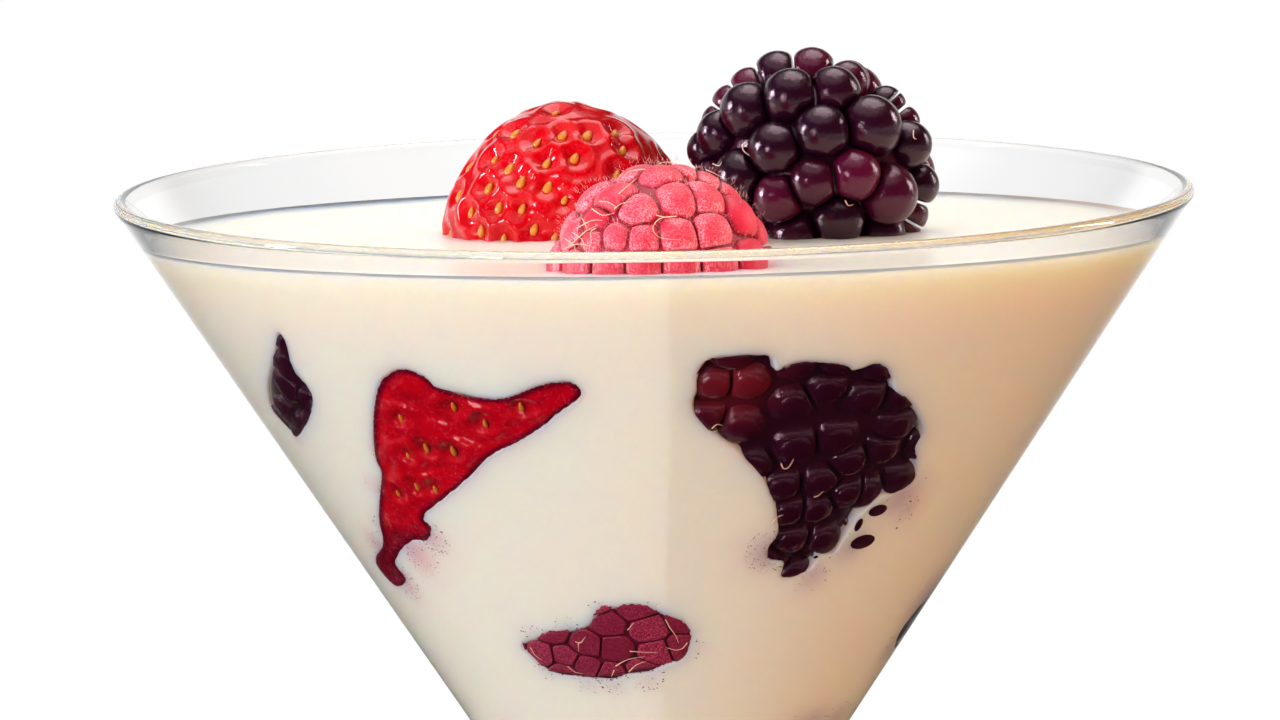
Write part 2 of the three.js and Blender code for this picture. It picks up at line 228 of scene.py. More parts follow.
def hair(curve, radius):
    """A thin tube along a curve, finer towards its end."""
    along = unit_rows(np.gradient(curve, axis=0))
    side = unit_rows(np.cross(along, [0.36, 0.48, 0.8]))
    other = np.cross(along, side)
    sides, points = 5, []
    for i, middle in enumerate(curve):
        thick = radius * (1 - 0.7 * i / (len(curve) - 1))
        for turn in np.arange(sides) * math.tau / sides:
            points.append(middle + thick * (math.cos(turn) * side[i] + math.sin(turn) * other[i]))
    faces = [list(range(sides))[::-1], list(range(len(points) - sides, len(points)))]
    return Shape(points, faces + ring_faces(len(curve), sides), part=1)


def lattice(cells, seed):
    """A repeatable random number from 0 to 1 for each row of whole numbers."""
    mixed = cells @ np.array([374761393, 668265263, 1440662683]) + seed * 971
    mixed = (mixed ^ (mixed >> 13)) * 1274126177
    return ((mixed ^ (mixed >> 16)) & 0xFFFFFF) / 0xFFFFFF


def random_for(numbers, seed):
    """A repeatable random number from 0 to 1 for each whole number."""
    return lattice(np.column_stack([numbers] * 3), seed)


def noise(points, size, seed=0):
    """Smooth noise from -1 to 1 with lumps of a size, in millimetres."""
    scaled = np.asarray(points, float) / size
    cells = np.floor(scaled).astype(np.int64)
    part = scaled - cells
    part = part * part * (3 - 2 * part)
    total = 0
    for corner in np.ndindex(2, 2, 2):
        weight = np.prod(np.where(corner, part, 1 - part), axis=-1)
        total = total + weight * lattice(cells + np.array(corner), seed)
    return 2 * total - 1


# ======== The slope of the bowl's wall ========
RIM_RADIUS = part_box("glass")[1].x / MM
RIM_HEIGHT = 175
WALL_LEAN = math.atan(FLARE)
WALL_COS, WALL_SIN = math.cos(WALL_LEAN), math.sin(WALL_LEAN)
INNER = WALL / 2  # the wall's inside, measured from its middle
LIP_CENTRE = (RIM_RADIUS - LIP_RADIUS, RIM_HEIGHT - LIP_RADIUS)


def cone_radius(height, inset):
    """Radius of a cone parallel to the bowl's wall and inset from the wall's middle."""
    return LIP_CENTRE[0] - inset / WALL_COS - (LIP_CENTRE[1] - height) * FLARE


def cone_bottom(inset):
    return LIP_CENTRE[1] - (LIP_CENTRE[0] - inset / WALL_COS) / FLARE


def on_wall(azimuth, height, inset):
    """Places behind the wall; azimuth in radians from the front towards +X."""
    radius = cone_radius(height, inset)
    return np.stack([radius * np.sin(azimuth), -radius * np.cos(azimuth), height + 0 * radius], -1)


def bowl_floor(clearance, steps):
    middle = cone_bottom(INNER) + FLOOR_ROUNDING / WALL_SIN
    return arc((0, middle), FLOOR_ROUNDING - clearance, -math.pi / 2, -WALL_LEAN, steps)


# ======== Materials ========
def plug(tree, socket, value):
    """Links a socket to an output, or sets it to a number or a colour."""
    if isinstance(value, bpy.types.NodeSocket):
        tree.links.new(value, socket)
    elif socket.type == "RGBA":
        socket.default_value = (*value, 1)
    else:
        socket.default_value = value


def add_node(tree, kind, inputs, settings):
    """A node of a kind; inputs are (socket's number or name, value or output)."""
    made = tree.nodes.new("ShaderNode" + kind)
    for key, value in settings.items():
        setattr(made, key, value)
    for key, value in inputs:
        plug(tree, made.inputs[key], value)
    return made


class Look:
    """A node material around one Principled shader. Coordinates are the object's, in millimetres."""

    def __init__(self, name, **inputs):
        self.material = bpy.data.materials.new(name)
        self.material.use_nodes = True
        self.tree = self.material.node_tree
        self.shader = self.tree.nodes["Principled BSDF"]
        self.place = self.tree.nodes.new("ShaderNodeVectorMath")
        self.place.operation = "SCALE"
        self.place.inputs["Scale"].default_value = 1 / MM
        where = self.tree.nodes.new("ShaderNodeTexCoord")
        self.tree.links.new(where.outputs["Object"], self.place.inputs[0])
        self.set(**inputs)

    def set(self, **inputs):
        for key, value in inputs.items():
            plug(self.tree, self.shader.inputs[key.replace("_", " ")], value)

    def add(self, kind, inputs=(), **settings):
        return add_node(self.tree, kind, inputs, settings)

    def noise(self, size, detail=2.0, roughness=0.5):
        """Smooth noise from 0 to 1 with lumps of about a size, in millimetres."""
        made = self.add("TexNoise", [
            ("Vector", self.place.outputs[0]), ("Scale", 1 / size), ("Detail", detail),
            ("Roughness", roughness)])
        return made.outputs[0]

    def tone(self, name="tone"):
        return self.add("Attribute", attribute_name=name).outputs["Fac"]

    def math(self, operation, a, b=0.0):
        return self.add("Math", [(0, a), (1, b)], operation=operation).outputs[0]

    def spread(self, value, low, high, to_low=0.0, to_high=1.0):
        """A value eased from the range low..high to another range, and held at its ends."""
        made = self.add("MapRange", [
            ("Value", value), ("From Min", low), ("From Max", high),
            ("To Min", to_low), ("To Max", to_high)], interpolation_type="SMOOTHSTEP")
        return made.outputs[0]

    def mix(self, share, first, second):
        """A colour between two, each a colour or an output."""
        return self.add("Mix", [(0, share), (6, first), (7, second)], data_type="RGBA").outputs[2]

    def bump(self, height, distance):
        """Gives the shader's normal a relief of that many millimetres."""
        made = self.add("Bump", [("Height", height), ("Distance", distance * MM), ("Strength", 1.0)])
        self.set(Normal=made.outputs[0])

    def show_mix(self, share, first, second):
        """Shows a mix of two shaders on the surface."""
        both = self.add("MixShader", [(0, share), (1, first), (2, second)])
        self.tree.links.new(both.outputs[0], self.tree.nodes["Material Output"].inputs["Surface"])


def glass_look():
    """Clear glass that lets the lamps through to what is behind it."""
    look = Look("clear_glass", Base_Color=(1, 1, 1), Roughness=0.0, IOR=1.5, Transmission_Weight=1.0)
    # Painted shade: on the lip the glass turns brownish grey where it is seen edge-on, standing for the
    # rim's dark lines.
    edge = look.add("LayerWeight", [("Blend", 0.5)]).outputs["Facing"]
    height = look.add("SeparateXYZ", [(0, look.place.outputs[0])]).outputs[2]
    on_lip = look.spread(height, RIM_HEIGHT - 2 * LIP_RADIUS, RIM_HEIGHT - 1.5 * LIP_RADIUS)
    painted_lip_shade = look.math("MULTIPLY", on_lip, look.spread(edge, 0.3, 0.9, 0.0, 0.3))
    look.set(Roughness=look.spread(look.noise(9.0), 0.55, 0.8, 0.0, 0.02),
             Base_Color=look.mix(painted_lip_shade, (1, 1, 1), (0.36, 0.31, 0.27)))
    path = look.add("LightPath")
    clear = look.add("BsdfTransparent", [(0, (0.97, 0.98, 0.98))])
    look.show_mix(path.outputs["Is Shadow Ray"], look.shader.outputs[0], clear.outputs[0])
    return look.material


def gelatin_look():
    look = Look(
        "milk_gelatin", Roughness=0.32, Subsurface_Weight=1.0, Subsurface_Scale=0.004,
        Subsurface_Radius=(1.0, 0.72, 0.42), Specular_IOR_Level=0.5)
    cream = look.mix(look.noise(30.0), (0.94, 0.865, 0.765), (0.92, 0.835, 0.72))
    stained = look.mix(look.tone("pink"), cream, (0.80, 0.42, 0.47))
    stained = look.mix(look.tone("mauve"), stained, (0.46, 0.30, 0.42))
    look.set(Base_Color=stained)
    look.bump(look.noise(3.0), 0.02)
    return look.material


def bramble_look(name, dark, red):
    look = Look(name, Roughness=0.14, Subsurface_Weight=0.15, Subsurface_Scale=0.001,
                Subsurface_Radius=(1.0, 0.2, 0.3), Specular_IOR_Level=0.55, Specular_Tint=(1.0, 0.66, 0.76))
    look.set(Base_Color=look.mix(look.spread(look.tone(), 0.3, 1.0), dark, red))
    look.bump(look.noise(0.35, 3.0, 0.6), 0.04)
    return look.material


def raspberry_look(name, deep, skin, pale, fuzz, on_crowns):
    """Pink on the crowns and deep crimson in the grooves, a painted shade, with a pale stippled fuzz round
    each drupelet, partly its own hairs and partly a painted sheen.
    """
    look = Look(name, Roughness=0.5, Subsurface_Weight=0.2, Subsurface_Scale=0.0008,
                Subsurface_Radius=(1.0, 0.25, 0.3), Sheen_Weight=fuzz, Sheen_Roughness=0.3)
    crown = look.math("ADD", look.tone("crown"), look.spread(look.noise(1.2), 0.3, 0.7, -0.15, 0.15))
    # A pale ring on each drupelet's sides: its own pale fuzz, gathered where a painted sheen stands for the
    # fuzz catching light.
    ring = look.math(
        "MULTIPLY", look.spread(crown, 0.2, 0.55), look.spread(crown, 0.65, 1.0, 1.0, on_crowns))
    stipple = look.spread(look.noise(0.17, 2.0, 0.75), 0.44, 0.62, 0.05, 1.0)
    furred = look.math("MULTIPLY", stipple, look.spread(look.tone(), 0.0, 0.35, 0.0, 0.9))
    # Painted shade: deep crimson where the crown value is low, down each drupelet's sides, in the grooves
    # and on the core.
    colour = look.mix(look.spread(crown, 0.05, 0.5), deep, skin)
    look.set(Base_Color=look.mix(look.math("MULTIPLY", ring, furred), colour, pale))
    look.bump(look.noise(0.2, 2.0, 0.6), 0.05)
    return look.material


def strawberry_look(name, edge, dark, bright):
    """A wet red skin with fine pale fibres in it; a low tone paints shade on it, darkest at the edge of a
    window.
    """
    look = Look(name, Roughness=0.13, Subsurface_Weight=0.2, Subsurface_Scale=0.0012,
                Subsurface_Radius=(1.0, 0.12, 0.1), Coat_Weight=0.3, Coat_Roughness=0.03,
                Specular_IOR_Level=0.3, Specular_Tint=(1.0, 0.4, 0.4))
    threads = look.noise(1.3, 3.0, 0.6)
    fibre = look.math(
        "MULTIPLY", look.spread(threads, 0.488, 0.5), look.spread(threads, 0.5, 0.512, 0.4, 0.0))
    red = look.mix(look.noise(2.5), dark, bright)
    # Painted shade: a low tone turns the red towards the edge colour.
    red = look.mix(look.spread(look.tone(), 0.05, 0.45), edge, red)
    look.set(Base_Color=look.mix(fibre, red, (0.75, 0.05, 0.10)))
    look.bump(look.noise(0.8, 3.0, 0.6), 0.05)
    return look.material


def seed_look():
    look = Look("strawberry_seed", Roughness=0.35)
    look.set(Base_Color=look.mix(look.noise(0.5), (0.60, 0.21, 0.02), (0.42, 0.11, 0.008)))
    look.bump(look.noise(0.2), 0.03)
    return look.material


def hair_look(name, dark, pale):
    look = Look(name, Roughness=0.4, Subsurface_Weight=0.2, Subsurface_Scale=0.0005)
    look.set(Base_Color=look.mix(look.noise(1.5), dark, pale))
    return look.material


GLASS = glass_look()
GELATIN = gelatin_look()
BRAMBLE = bramble_look("bramble_skin", (0.010, 0.001, 0.006), (0.055, 0.002, 0.016))
SUNKEN_BRAMBLE = bramble_look("bramble_skin_wet", (0.018, 0.001, 0.007), (0.12, 0.006, 0.012))
RASPBERRY = raspberry_look(
    "raspberry_skin", (0.28, 0.0, 0.016), (0.50, 0.006, 0.035), (0.86, 0.30, 0.36), 0.12, 0.3)
SUNKEN_RASPBERRY = raspberry_look(
    "raspberry_skin_wet", (0.07, 0.0, 0.010), (0.12, 0.0, 0.014), (0.50, 0.05, 0.11), 0.0, 1.0)
STRAWBERRY = strawberry_look(
    "strawberry_skin", (0.20, 0.0, 0.004), (0.34, 0.0, 0.003), (0.52, 0.001, 0.004))
SUNKEN_STRAWBERRY = strawberry_look(
    "strawberry_skin_wet", (0.08, 0.0, 0.008), (0.30, 0.0, 0.007), (0.50, 0.001, 0.006))
SEED_SKIN = seed_look()
HAIR = hair_look("berry_hair", (0.72, 0.36, 0.22), (0.82, 0.56, 0.44))
FUZZ = hair_look("berry_fuzz", (0.78, 0.26, 0.30), (0.88, 0.48, 0.50))


# ======== The glass ========
def make_glass():
    foot_middle = FOOT_EDGE / 2
    ring_outer = FOOT_RADIUS - foot_middle
    ring_inner = ring_outer - FOOT_RING
    bowl_start = cone_bottom(-INNER) + 12
    foot_and_stem = smooth_curve([
        (ring_outer, FOOT_EDGE), (30, 2.4), (21, 3.3), (13, 5), (8.5, 8), (5.8, 12.5), (4.5, 19),
        (STEM_RADIUS, 32), (STEM_RADIUS, bowl_start - 40), (STEM_RADIUS, bowl_start - 20),
        (4.1, bowl_start - 13), (4.8, bowl_start - 7.5), (6, bowl_start - 3.2),
        (cone_radius(bowl_start, -INNER), bowl_start)], 6)
    wall = [(cone_radius(height, -INNER), height)
            for height in np.linspace(bowl_start, LIP_CENTRE[1] - 1, 12)]
    inside = [(cone_radius(height, INNER), height) for height in np.linspace(LIP_CENTRE[1], 104, 14)]
    profile = [
        (0, FOOT_HOLLOW), (ring_inner * 0.6, FOOT_HOLLOW * 0.7), (ring_inner - 1.5, FOOT_HOLLOW / 4),
        (ring_inner, 0), (ring_inner + FOOT_RING / 2, 0),
        *arc((ring_outer, foot_middle), foot_middle, -math.pi / 2, math.pi / 2, 10)[:-1],
        *foot_and_stem, *wall[1:],
        *arc(LIP_CENTRE, LIP_RADIUS, -WALL_LEAN, math.pi - WALL_LEAN, 14), *inside[1:],
        *bowl_floor(0, 8)[::-1]]
    add_piece("cocktail_glass", turned(profile, GLASS_SIDES), [GLASS], "glass", "glass")


# ======== Berries sunk against the glass ========
# azimuth is in degrees from the front towards +X, and drop is how far the middle lies below the rim.
# halves is the half length, half depth and half width, and lean turns the length up from level.
# outline is the window, as places on the wall: (along its girth, up its slope) from that middle.
# seen lists the drupelets or seeds that show, at such places, and hairs the points of each hair.
# spots are crumbs, (along, up, half length, half height), and stains are (along, up, reach, share,
# number of specks). pressing picks a row of PRESSING, and margin is how far beads reach past the
# outline.
WALL_BERRIES = {
    "strawberry_wall": dict(
        kind="strawberry", azimuth=-39.4, drop=23.5, halves=(24, 8, 9), lean=37,
        outline=[(4.8, 13.4), (3.2, 12.6), (1.8, 11.2), (0.3, 8.7), (-1.4, 5.4), (-3.1, 1.6), (-3.5, -0.4),
                 (-5.7, -3.4), (-8.6, -7), (-10.8, -10.1), (-16.5, -13.3), (-14.9, -15.7), (-10.8, -14.4),
                 (-11, -12.5), (-8.2, -10.6), (-4.5, -8.7), (-2.1, -8.4), (-0.5, -6.7), (-1, -5.9),
                 (-0.2, -4.8), (3, -2.7), (6.6, 0), (10.1, 3.3), (13, 5.1), (15.6, 7.2), (16.9, 8.6),
                 (18.9, 10.6), (19.2, 11.6), (18.6, 12.5), (17.4, 12.5), (15.8, 11.9), (13.1, 10.4),
                 (11, 10.3), (9, 10.8), (7.2, 11.4), (6.4, 12.7)],
        seen=[(2.3, 7.3), (8.1, 9.2), (10.5, 7.3), (14.1, 9.5), (3.6, 3.7), (6.4, 3.6), (1.1, 2.5),
              (0.3, -1.4), (2.5, -1.6), (-2.8, -2.6)],
        stains=[(-5.3, -2.4, 1.6, 0.5, 24), (-5, -10.4, 2.6, 0.8, 110), (-11.4, -14.4, 2.4, 0.7, 130),
                (-12.1, -10.7, 2.2, 0.7, 80), (-1.2, -8, 2, 0.7, 110), (-2.4, 2.8, 1.2, 0.3, 14),
                (-8.3, -8.2, 1.8, 0.7, 50)]),
    "bramble_wall": dict(
        kind="bramble", azimuth=23, drop=22.3, halves=(19, 6.4, 13.5), lean=-50,
        outline=[(-11.9, 11.9), (-11.2, 13.6), (-9.8, 14), (-6.8, 14), (-6, 13.3), (-5.6, 12), (-4.9, 12.5),
                 (-3.6, 12.9), (-1.9, 12.7), (-0.1, 12.2), (1, 11.5), (2.6, 12.1), (3.7, 11.5), (4.8, 10),
                 (5.6, 8.4), (6.9, 7.4), (8.3, 6.1), (10, 4), (10.7, 2.3), (10.5, 1), (11.5, -0.8),
                 (12.4, -3), (11.7, -4), (10.3, -4.6), (8.6, -4.7), (7.9, -5.7), (6.9, -6.9), (6.5, -8.5),
                 (5.8, -10.3), (5.5, -11.5), (4, -11.5), (2.7, -11.1), (3.4, -12.3), (2.9, -13.3),
                 (1.2, -14.1), (-0.4, -13.9), (-0.5, -12.5), (-0.9, -11.9), (-2.5, -11.5),
                 (-2.9, -10.1), (-2.2, -8.7),
                 (-2.8, -6), (-3.9, -3.4), (-5.7, -0.3), (-7.2, 1.4), (-8.5, 2.9), (-10.2, 4.6),
                 (-11.7, 6.8), (-12.2, 8.4), (-11.9, 9.8)],
        seen=[(-10.5, 11.8), (-7.7, 11.9), (-11.2, 7.9), (-7.8, 6.7), (-3.4, 9.1),
              (-0.8, 10.6), (3.2, 9.2), (7.6, 5.4), (7, 2.5), (-2.3, 3.8),
              (1.7, 4.5), (-6.4, 1.7), (1.3, -1.1), (7, -2.9), (10.9, -1.7),
              (-2.8, -1.3), (-1.4, -4.7), (1.8, -4.7), (3.7, -8.5), (-0.2, -8.4),
              (1.2, -12.6), (-2.1, -10.3), (4.9, -3)],
        spots=[(9.2, -6.6, 1.3, 0.8), (9, -10.5, 1.8, 1), (7.4, -8.2, 0.5, 0.9), (3.3, -11.8, 0.3, 0.2),
               (13.3, -9.3, 0.16, 0.12), (13.4, -6, 0.16, 0.12)],
        stains=[(-2.8, -10.6, 2.4, 0.7, 130), (11.7, -5.1, 2.6, 0.7, 12), (3.7, -14, 2.2, 0.5, 40),
                (7.3, -11, 2.4, 0.5, 8), (13.7, -7, 1.6, 0.6, 16)],
        hairs=[[(-3.6, 0.5), (-3.3, -0.1), (-2.8, 0), (-2.5, 1)], [(0.7, -4), (1.1, -3.9), (1.5, -3.4)],
               [(-10.4, 5.3), (-10, 5.8), (-9.5, 5.6)], [(-3.2, -7), (-2.8, -6.3), (-2.2, -6)]]),
    "raspberry_wall": dict(
        kind="raspberry", azimuth=-12.5, drop=40.8, halves=(12, 6, 8), lean=6,
        outline=[(-8.1, -0.6), (-5.6, 0.5), (-3, 1.4), (-0.9, 2.3), (0.2, 3.9), (1.3, 4.6), (3.8, 4.7),
                 (5.3, 4.2), (7, 2.7), (8.2, 1.4), (8.1, -0.4), (7.7, -1.9), (6.1, -2.5), (4.3, -3.5),
                 (2.3, -3.8), (0.6, -4.5), (-1.2, -4.4), (-3.3, -4.3), (-5.4, -4.1), (-6.8, -3.3),
                 (-7.6, -2)],
        seen=[(0.9, 3.5), (4.5, 2.9), (7.5, 0.4), (-4.1, -1.1), (-6.3, -0.8), (-2, -2.3), (1.2, 0.5),
              (5.2, -0.2), (-4.6, -3.1), (0.3, -3.2), (3.9, -2.6), (-1.4, 0.9)],
        stains=[(-2.8, 2.4, 1.2, 0.2, 26), (-6.5, 0.8, 1.2, 0.2, 20), (-2.2, -4.9, 1.5, 0.3, 40),
                (0.6, -5, 1.5, 0.3, 40), (4.2, -4.3, 1.6, 0.3, 36), (8.5, -0.5, 1.2, 0.2, 16),
                (0.4, 4.5, 1, 0.2, 14), (4.5, 4.8, 1, 0.2, 14), (-6.3, -3.6, 1.3, 0.3, 26)],
        hairs=[[(-2.5, 0.3), (-2, 0.2), (-1.6, 0.7), (-1.4, 1)], [(-2.2, 0.2), (-2.3, -0.3), (-2.4, -1)],
               [(2.6, 2), (2.9, 2.4), (3.2, 2.9)], [(6, 3.3), (6.4, 2.2), (6.9, 1.2), (7.2, 0.2)],
               [(8, 0.2), (7.6, -0.5), (6.9, -0.7), (6, -0.3)], [(2.6, -0.8), (3.7, -0.9), (5.3, -1)],
               [(0.8, -3.3), (0.4, -4.2)], [(-4, -3), (-3.4, -3.7), (-2.6, -3.9)],
               [(-7.4, -0.8), (-7.2, -1.8), (-6.6, -2.4)], [(1, -2.8), (2.3, -1.9), (4, -1.5)],
               [(2.3, -3.5), (3.1, -2.6), (4.1, -2.1)]]),
    "bramble_left": dict(
        kind="bramble", azimuth=-58.2, drop=15.4, halves=(10.8, 5, 5.4), lean=45,
        pressing="flat", margin=0.6,
        outline=[(6.2, 6.9), (6.2, 5.7), (5.7, 4.4), (5.2, 3.3), (5, 1.7), (5.5, 0.5), (5.5, -0.7),
                 (4.5, -2.1), (2.3, -4), (-1.3, -6.1), (-3.8, -7.1), (-4.1, -6.4), (-5, -5.2),
                 (-5.3, -4), (-4, -2.3),
                 (-1.6, -0.2), (1.1, 1.9), (3.5, 4.1), (4.9, 5.6)],
        seen=[(5.8, 5.7), (4.1, 3.6), (1.8, 0.9), (3.8, -0.6), (-2, -2.6), (-0.3, -4.1), (-2.5, -6.1)],
        stains=[(-3, -3.6, 1.6, 0.3, 8), (6, 6.6, 1, 0.2, 0)]),
    "bramble_right": dict(
        kind="bramble", azimuth=80, drop=41, halves=(7.5, 4.5, 6.5), lean=50,
        outline=[(-4.4, -2.2), (-3.4, 0.4), (-1.6, 1.6), (0.4, 4.6), (3.6, 4), (4.6, 0), (2.6, -4),
                 (-1.4, -4.6)], seen=[],
        stains=[(-3, 1.4, 3.4, 0.6, 50), (-4.2, -3.4, 2.4, 0.5, 24), (0.6, 5.2, 2.6, 0.4, 20)]),
    "raspberry_low": dict(
        kind="raspberry", azimuth=54, drop=54.6, halves=(6.5, 4.5, 6), lean=0,
        outline=[(-3.2, 2.6), (-0.6, 3.6), (2.2, 3), (3.6, 0.6), (2.4, -2.6), (-0.8, -3.4), (-3.4, -1.2)],
        seen=[], stains=[(-2, 4, 2.4, 0.5, 40), (2, 4, 2, 0.4, 20)]),
    "raspberry_rear": dict(
        kind="raspberry", azimuth=142, drop=19, halves=(11.5, 6, 9), lean=8,
        outline=[(-7.4, -1.6), (-5.6, 3), (-1.6, 4.4), (2.4, 5.6), (6.8, 3.2), (7.2, -1.8), (3, -4.8),
                 (-3.4, -5)], seen=[]),
    "strawberry_rear": dict(
        kind="strawberry", azimuth=190, drop=29, halves=(15, 7, 12), lean=-72,
        outline=[(-7.6, 8), (-2.6, 8.8), (2.2, 7), (7.2, 8.6), (8.4, 5.2), (4.4, -0.6), (2.4, -6.8),
                 (-0.8, -9.8), (-2.8, -6.4), (-6.2, -0.8), (-8.8, 4)], seen=[]),
    "bramble_rear": dict(
        kind="bramble", azimuth=240, drop=21, halves=(12, 6.5, 10), lean=20,
        outline=[(-7.2, 3.8), (-3.2, 7.2), (1.4, 6.8), (5.4, 5.4), (7.4, 0.8), (5, -4.2), (0.6, -7),
                 (-2.8, -5), (-4.2, -1)], seen=[]),
}


def berry_radius(berry):
    """Radius of the bowl's inside at the height of a sunken berry's middle."""
    return cone_radius(RIM_HEIGHT - berry["drop"], INNER)


# How drupelets press on the glass: their middles' depth for their size, their crowding and the
# grooves' depth.
PRESSING = {"bramble": (0.96, 0.65, 1.0), "raspberry": (0.6, 0.74, 0.25), "flat": (0.8, 0.68, 0.45)}
RED_DRUPELETS = (-9, 10)  # the place, beside a sunken bramble's middle, where it is reddest


def behind_glass(berry, places, inset):
    """Points at (along, up) places on the wall by a berry, at a depth from the wall's middle."""
    places = np.asarray(places, float)
    height = RIM_HEIGHT - berry["drop"] + places[..., 1] * WALL_COS
    azimuth = math.radians(berry["azimuth"]) + places[..., 0] / berry_radius(berry)
    return on_wall(azimuth, height, inset)


def wall_places(berry, points):
    """The (along, up) places by a berry of points near the wall."""
    azimuth = np.arctan2(points[:, 0], -points[:, 1]) - math.radians(berry["azimuth"])
    azimuth = (azimuth + math.pi) % (2 * math.pi) - math.pi
    up = (points[:, 2] - RIM_HEIGHT + berry["drop"]) / WALL_COS
    return np.stack([azimuth * berry_radius(berry), up], -1)


def outline_distance(outline, places):
    """How far places lie outside a closed outline; inside it the distance is negative."""
    near = np.full(len(places), 1e9)
    inside = np.zeros(len(places), bool)
    for a, b in zip(outline, np.roll(outline, -1, axis=0)):
        edge, away = b - a, places - a
        share = np.clip(away @ edge / max(edge @ edge, 1e-12), 0, 1)
        near = np.minimum(near, np.linalg.norm(away - share[:, None] * edge, axis=1))
        crosses = (a[1] > places[:, 1]) != (b[1] > places[:, 1])
        if b[1] != a[1]:
            inside ^= crosses & (places[:, 0] < a[0] + edge[0] * (places[:, 1] - a[1]) / edge[1])
    return np.where(inside, -near, near)


def window_distance(berry, points):
    """How far points near the wall lie outside a berry's window."""
    outline = smooth_curve(berry["outline"], 5, closed=True)
    places = wall_places(berry, points)
    low, high = outline.min(0) - 12, outline.max(0) + 12
    close = np.all((places > low) & (places < high), axis=1)
    distance = np.full(len(points), 12.0)
    distance[close] = outline_distance(outline, places[close])
    return distance


# ======== The gelatin ========
def surface_height(y):
    return RIM_HEIGHT - FILL_DROP - FILL_TILT * y


def gelatin_top(azimuth):
    """Height of the gelatin's edge on the wall."""
    tilt = FILL_TILT * np.cos(azimuth) * FLARE
    return (RIM_HEIGHT - FILL_DROP + MENISCUS_RISE - tilt * cone_bottom(INNER)) / (1 - tilt)


SIDE_LOW = cone_bottom(INNER) + FLOOR_ROUNDING / WALL_SIN - FLOOR_ROUNDING * WALL_SIN
SIDE_HIGH = RIM_HEIGHT - FILL_DROP + MENISCUS_RISE
RIM_SIDES = 384
FLOOR_SIDES = 48


def side_points(flat):
    """The gelatin's wall, from the plane that the cone unrolls to: rows of (across, down) millimetres."""
    reach = np.hypot(flat[:, 0], flat[:, 1])
    azimuth = np.arctan2(flat[:, 0], flat[:, 1]) / WALL_SIN
    share = (reach * WALL_COS + cone_bottom(INNER) - SIDE_LOW) / (SIDE_HIGH - SIDE_LOW)
    height = SIDE_LOW + share * (gelatin_top(azimuth) - SIDE_LOW)
    return on_wall(azimuth, height, INNER - INTO_WALL)


def unrolled(azimuth, height):
    reach = (height - cone_bottom(INNER)) / WALL_COS
    return np.stack([reach * np.sin(azimuth * WALL_SIN), reach * np.cos(azimuth * WALL_SIN)], -1)


def side_grid():
    """Points on the unrolled wall, closest together along the windows' edges."""
    far = (SIDE_HIGH - cone_bottom(INNER)) / WALL_COS
    kept = []
    for step, nearest, farthest in ((0.3, -1.2, 0.75), (0.75, 0.75, 3.5), (2.2, 3.5, 12.1), (1.5, -9, -1.2)):
        across, down = np.meshgrid(
            np.arange(-far, far, step), np.arange(-far * 0.4, far, step * 0.866), indexing="ij")
        across[:, 1::2] += step / 2
        flat = np.stack([across.ravel(), down.ravel()], -1)
        reach = np.hypot(flat[:, 0], flat[:, 1])
        azimuth = np.arctan2(flat[:, 0], flat[:, 1]) / WALL_SIN
        height = reach * WALL_COS + cone_bottom(INNER)
        inside = (np.abs(azimuth) < math.pi - 0.5 * step / np.maximum(reach * WALL_SIN, 0.1)) & (
            height > SIDE_LOW + 0.5) & (height < SIDE_HIGH - 0.5)
        flat = flat[inside]
        points = side_points(flat)
        distance = np.min([window_distance(berry, points) for berry in WALL_BERRIES.values()], axis=0)
        kept.append(flat[(distance >= nearest) & (distance < farthest)])
    return np.concatenate(kept)


def gelatin_side():
    """The gelatin's wall as points in the unrolled plane and the triangles between them."""
    turn = np.linspace(-math.pi, math.pi, RIM_SIDES + 1)
    floor_turn = np.linspace(-math.pi, math.pi, FLOOR_SIDES + 1)
    seam = np.linspace(SIDE_LOW, SIDE_HIGH, 60)[1:-1]
    edges = np.concatenate([
        unrolled(turn, np.full_like(turn, SIDE_HIGH)),
        unrolled(floor_turn, np.full_like(floor_turn, SIDE_LOW)),
        unrolled(np.full_like(seam, -math.pi), seam), unrolled(np.full_like(seam, math.pi), seam)])
    flat = np.concatenate([edges, side_grid()])
    made = delaunay_2d_cdt([Vector(p) for p in flat.tolist()], [], [], 0, 1e-5)
    flat = np.array([tuple(p) for p in made[0]])
    faces = np.array(made[2])
    middle = flat[faces].mean(axis=1)
    reach = np.hypot(middle[:, 0], middle[:, 1]) * WALL_COS + cone_bottom(INNER)
    azimuth = np.arctan2(middle[:, 0], middle[:, 1]) / WALL_SIN
    return flat, faces[(np.abs(azimuth) < math.pi) & (reach > SIDE_LOW)]


def bottom():
    """The gelatin's rounded bottom, from its wall's lowest ring down to the axis."""
    turn = np.arange(FLOOR_SIDES) * (2 * math.pi / FLOOR_SIDES) - math.pi
    rings = [on_wall(turn, np.full_like(turn, SIDE_LOW), INNER - INTO_WALL)]
    for radius, height in bowl_floor(-INTO_WALL, 7)[-2:0:-1]:
        rings.append(np.column_stack([
            radius * np.sin(turn), -radius * np.cos(turn), np.full_like(turn, height)]))
    points = np.vstack([*rings, [0, 0, bowl_floor(-INTO_WALL, 7)[0][1]]])
    last = len(points) - 1
    faces = ring_faces(len(rings), FLOOR_SIDES) + fan_faces(last - FLOOR_SIDES, FLOOR_SIDES, last)
    return Shape(points, faces)


def window_depth(distance):
    """How deep the gelatin lies behind its wall, by the distance outside a window."""
    shoulder = np.clip(EDGE_ROUNDING - distance, 0, EDGE_ROUNDING)
    rounded = EDGE_ROUNDING - np.sqrt(EDGE_ROUNDING**2 - shoulder**2)
    return np.minimum(rounded + 3.2 * np.clip(-distance, 0, None), RECESS)


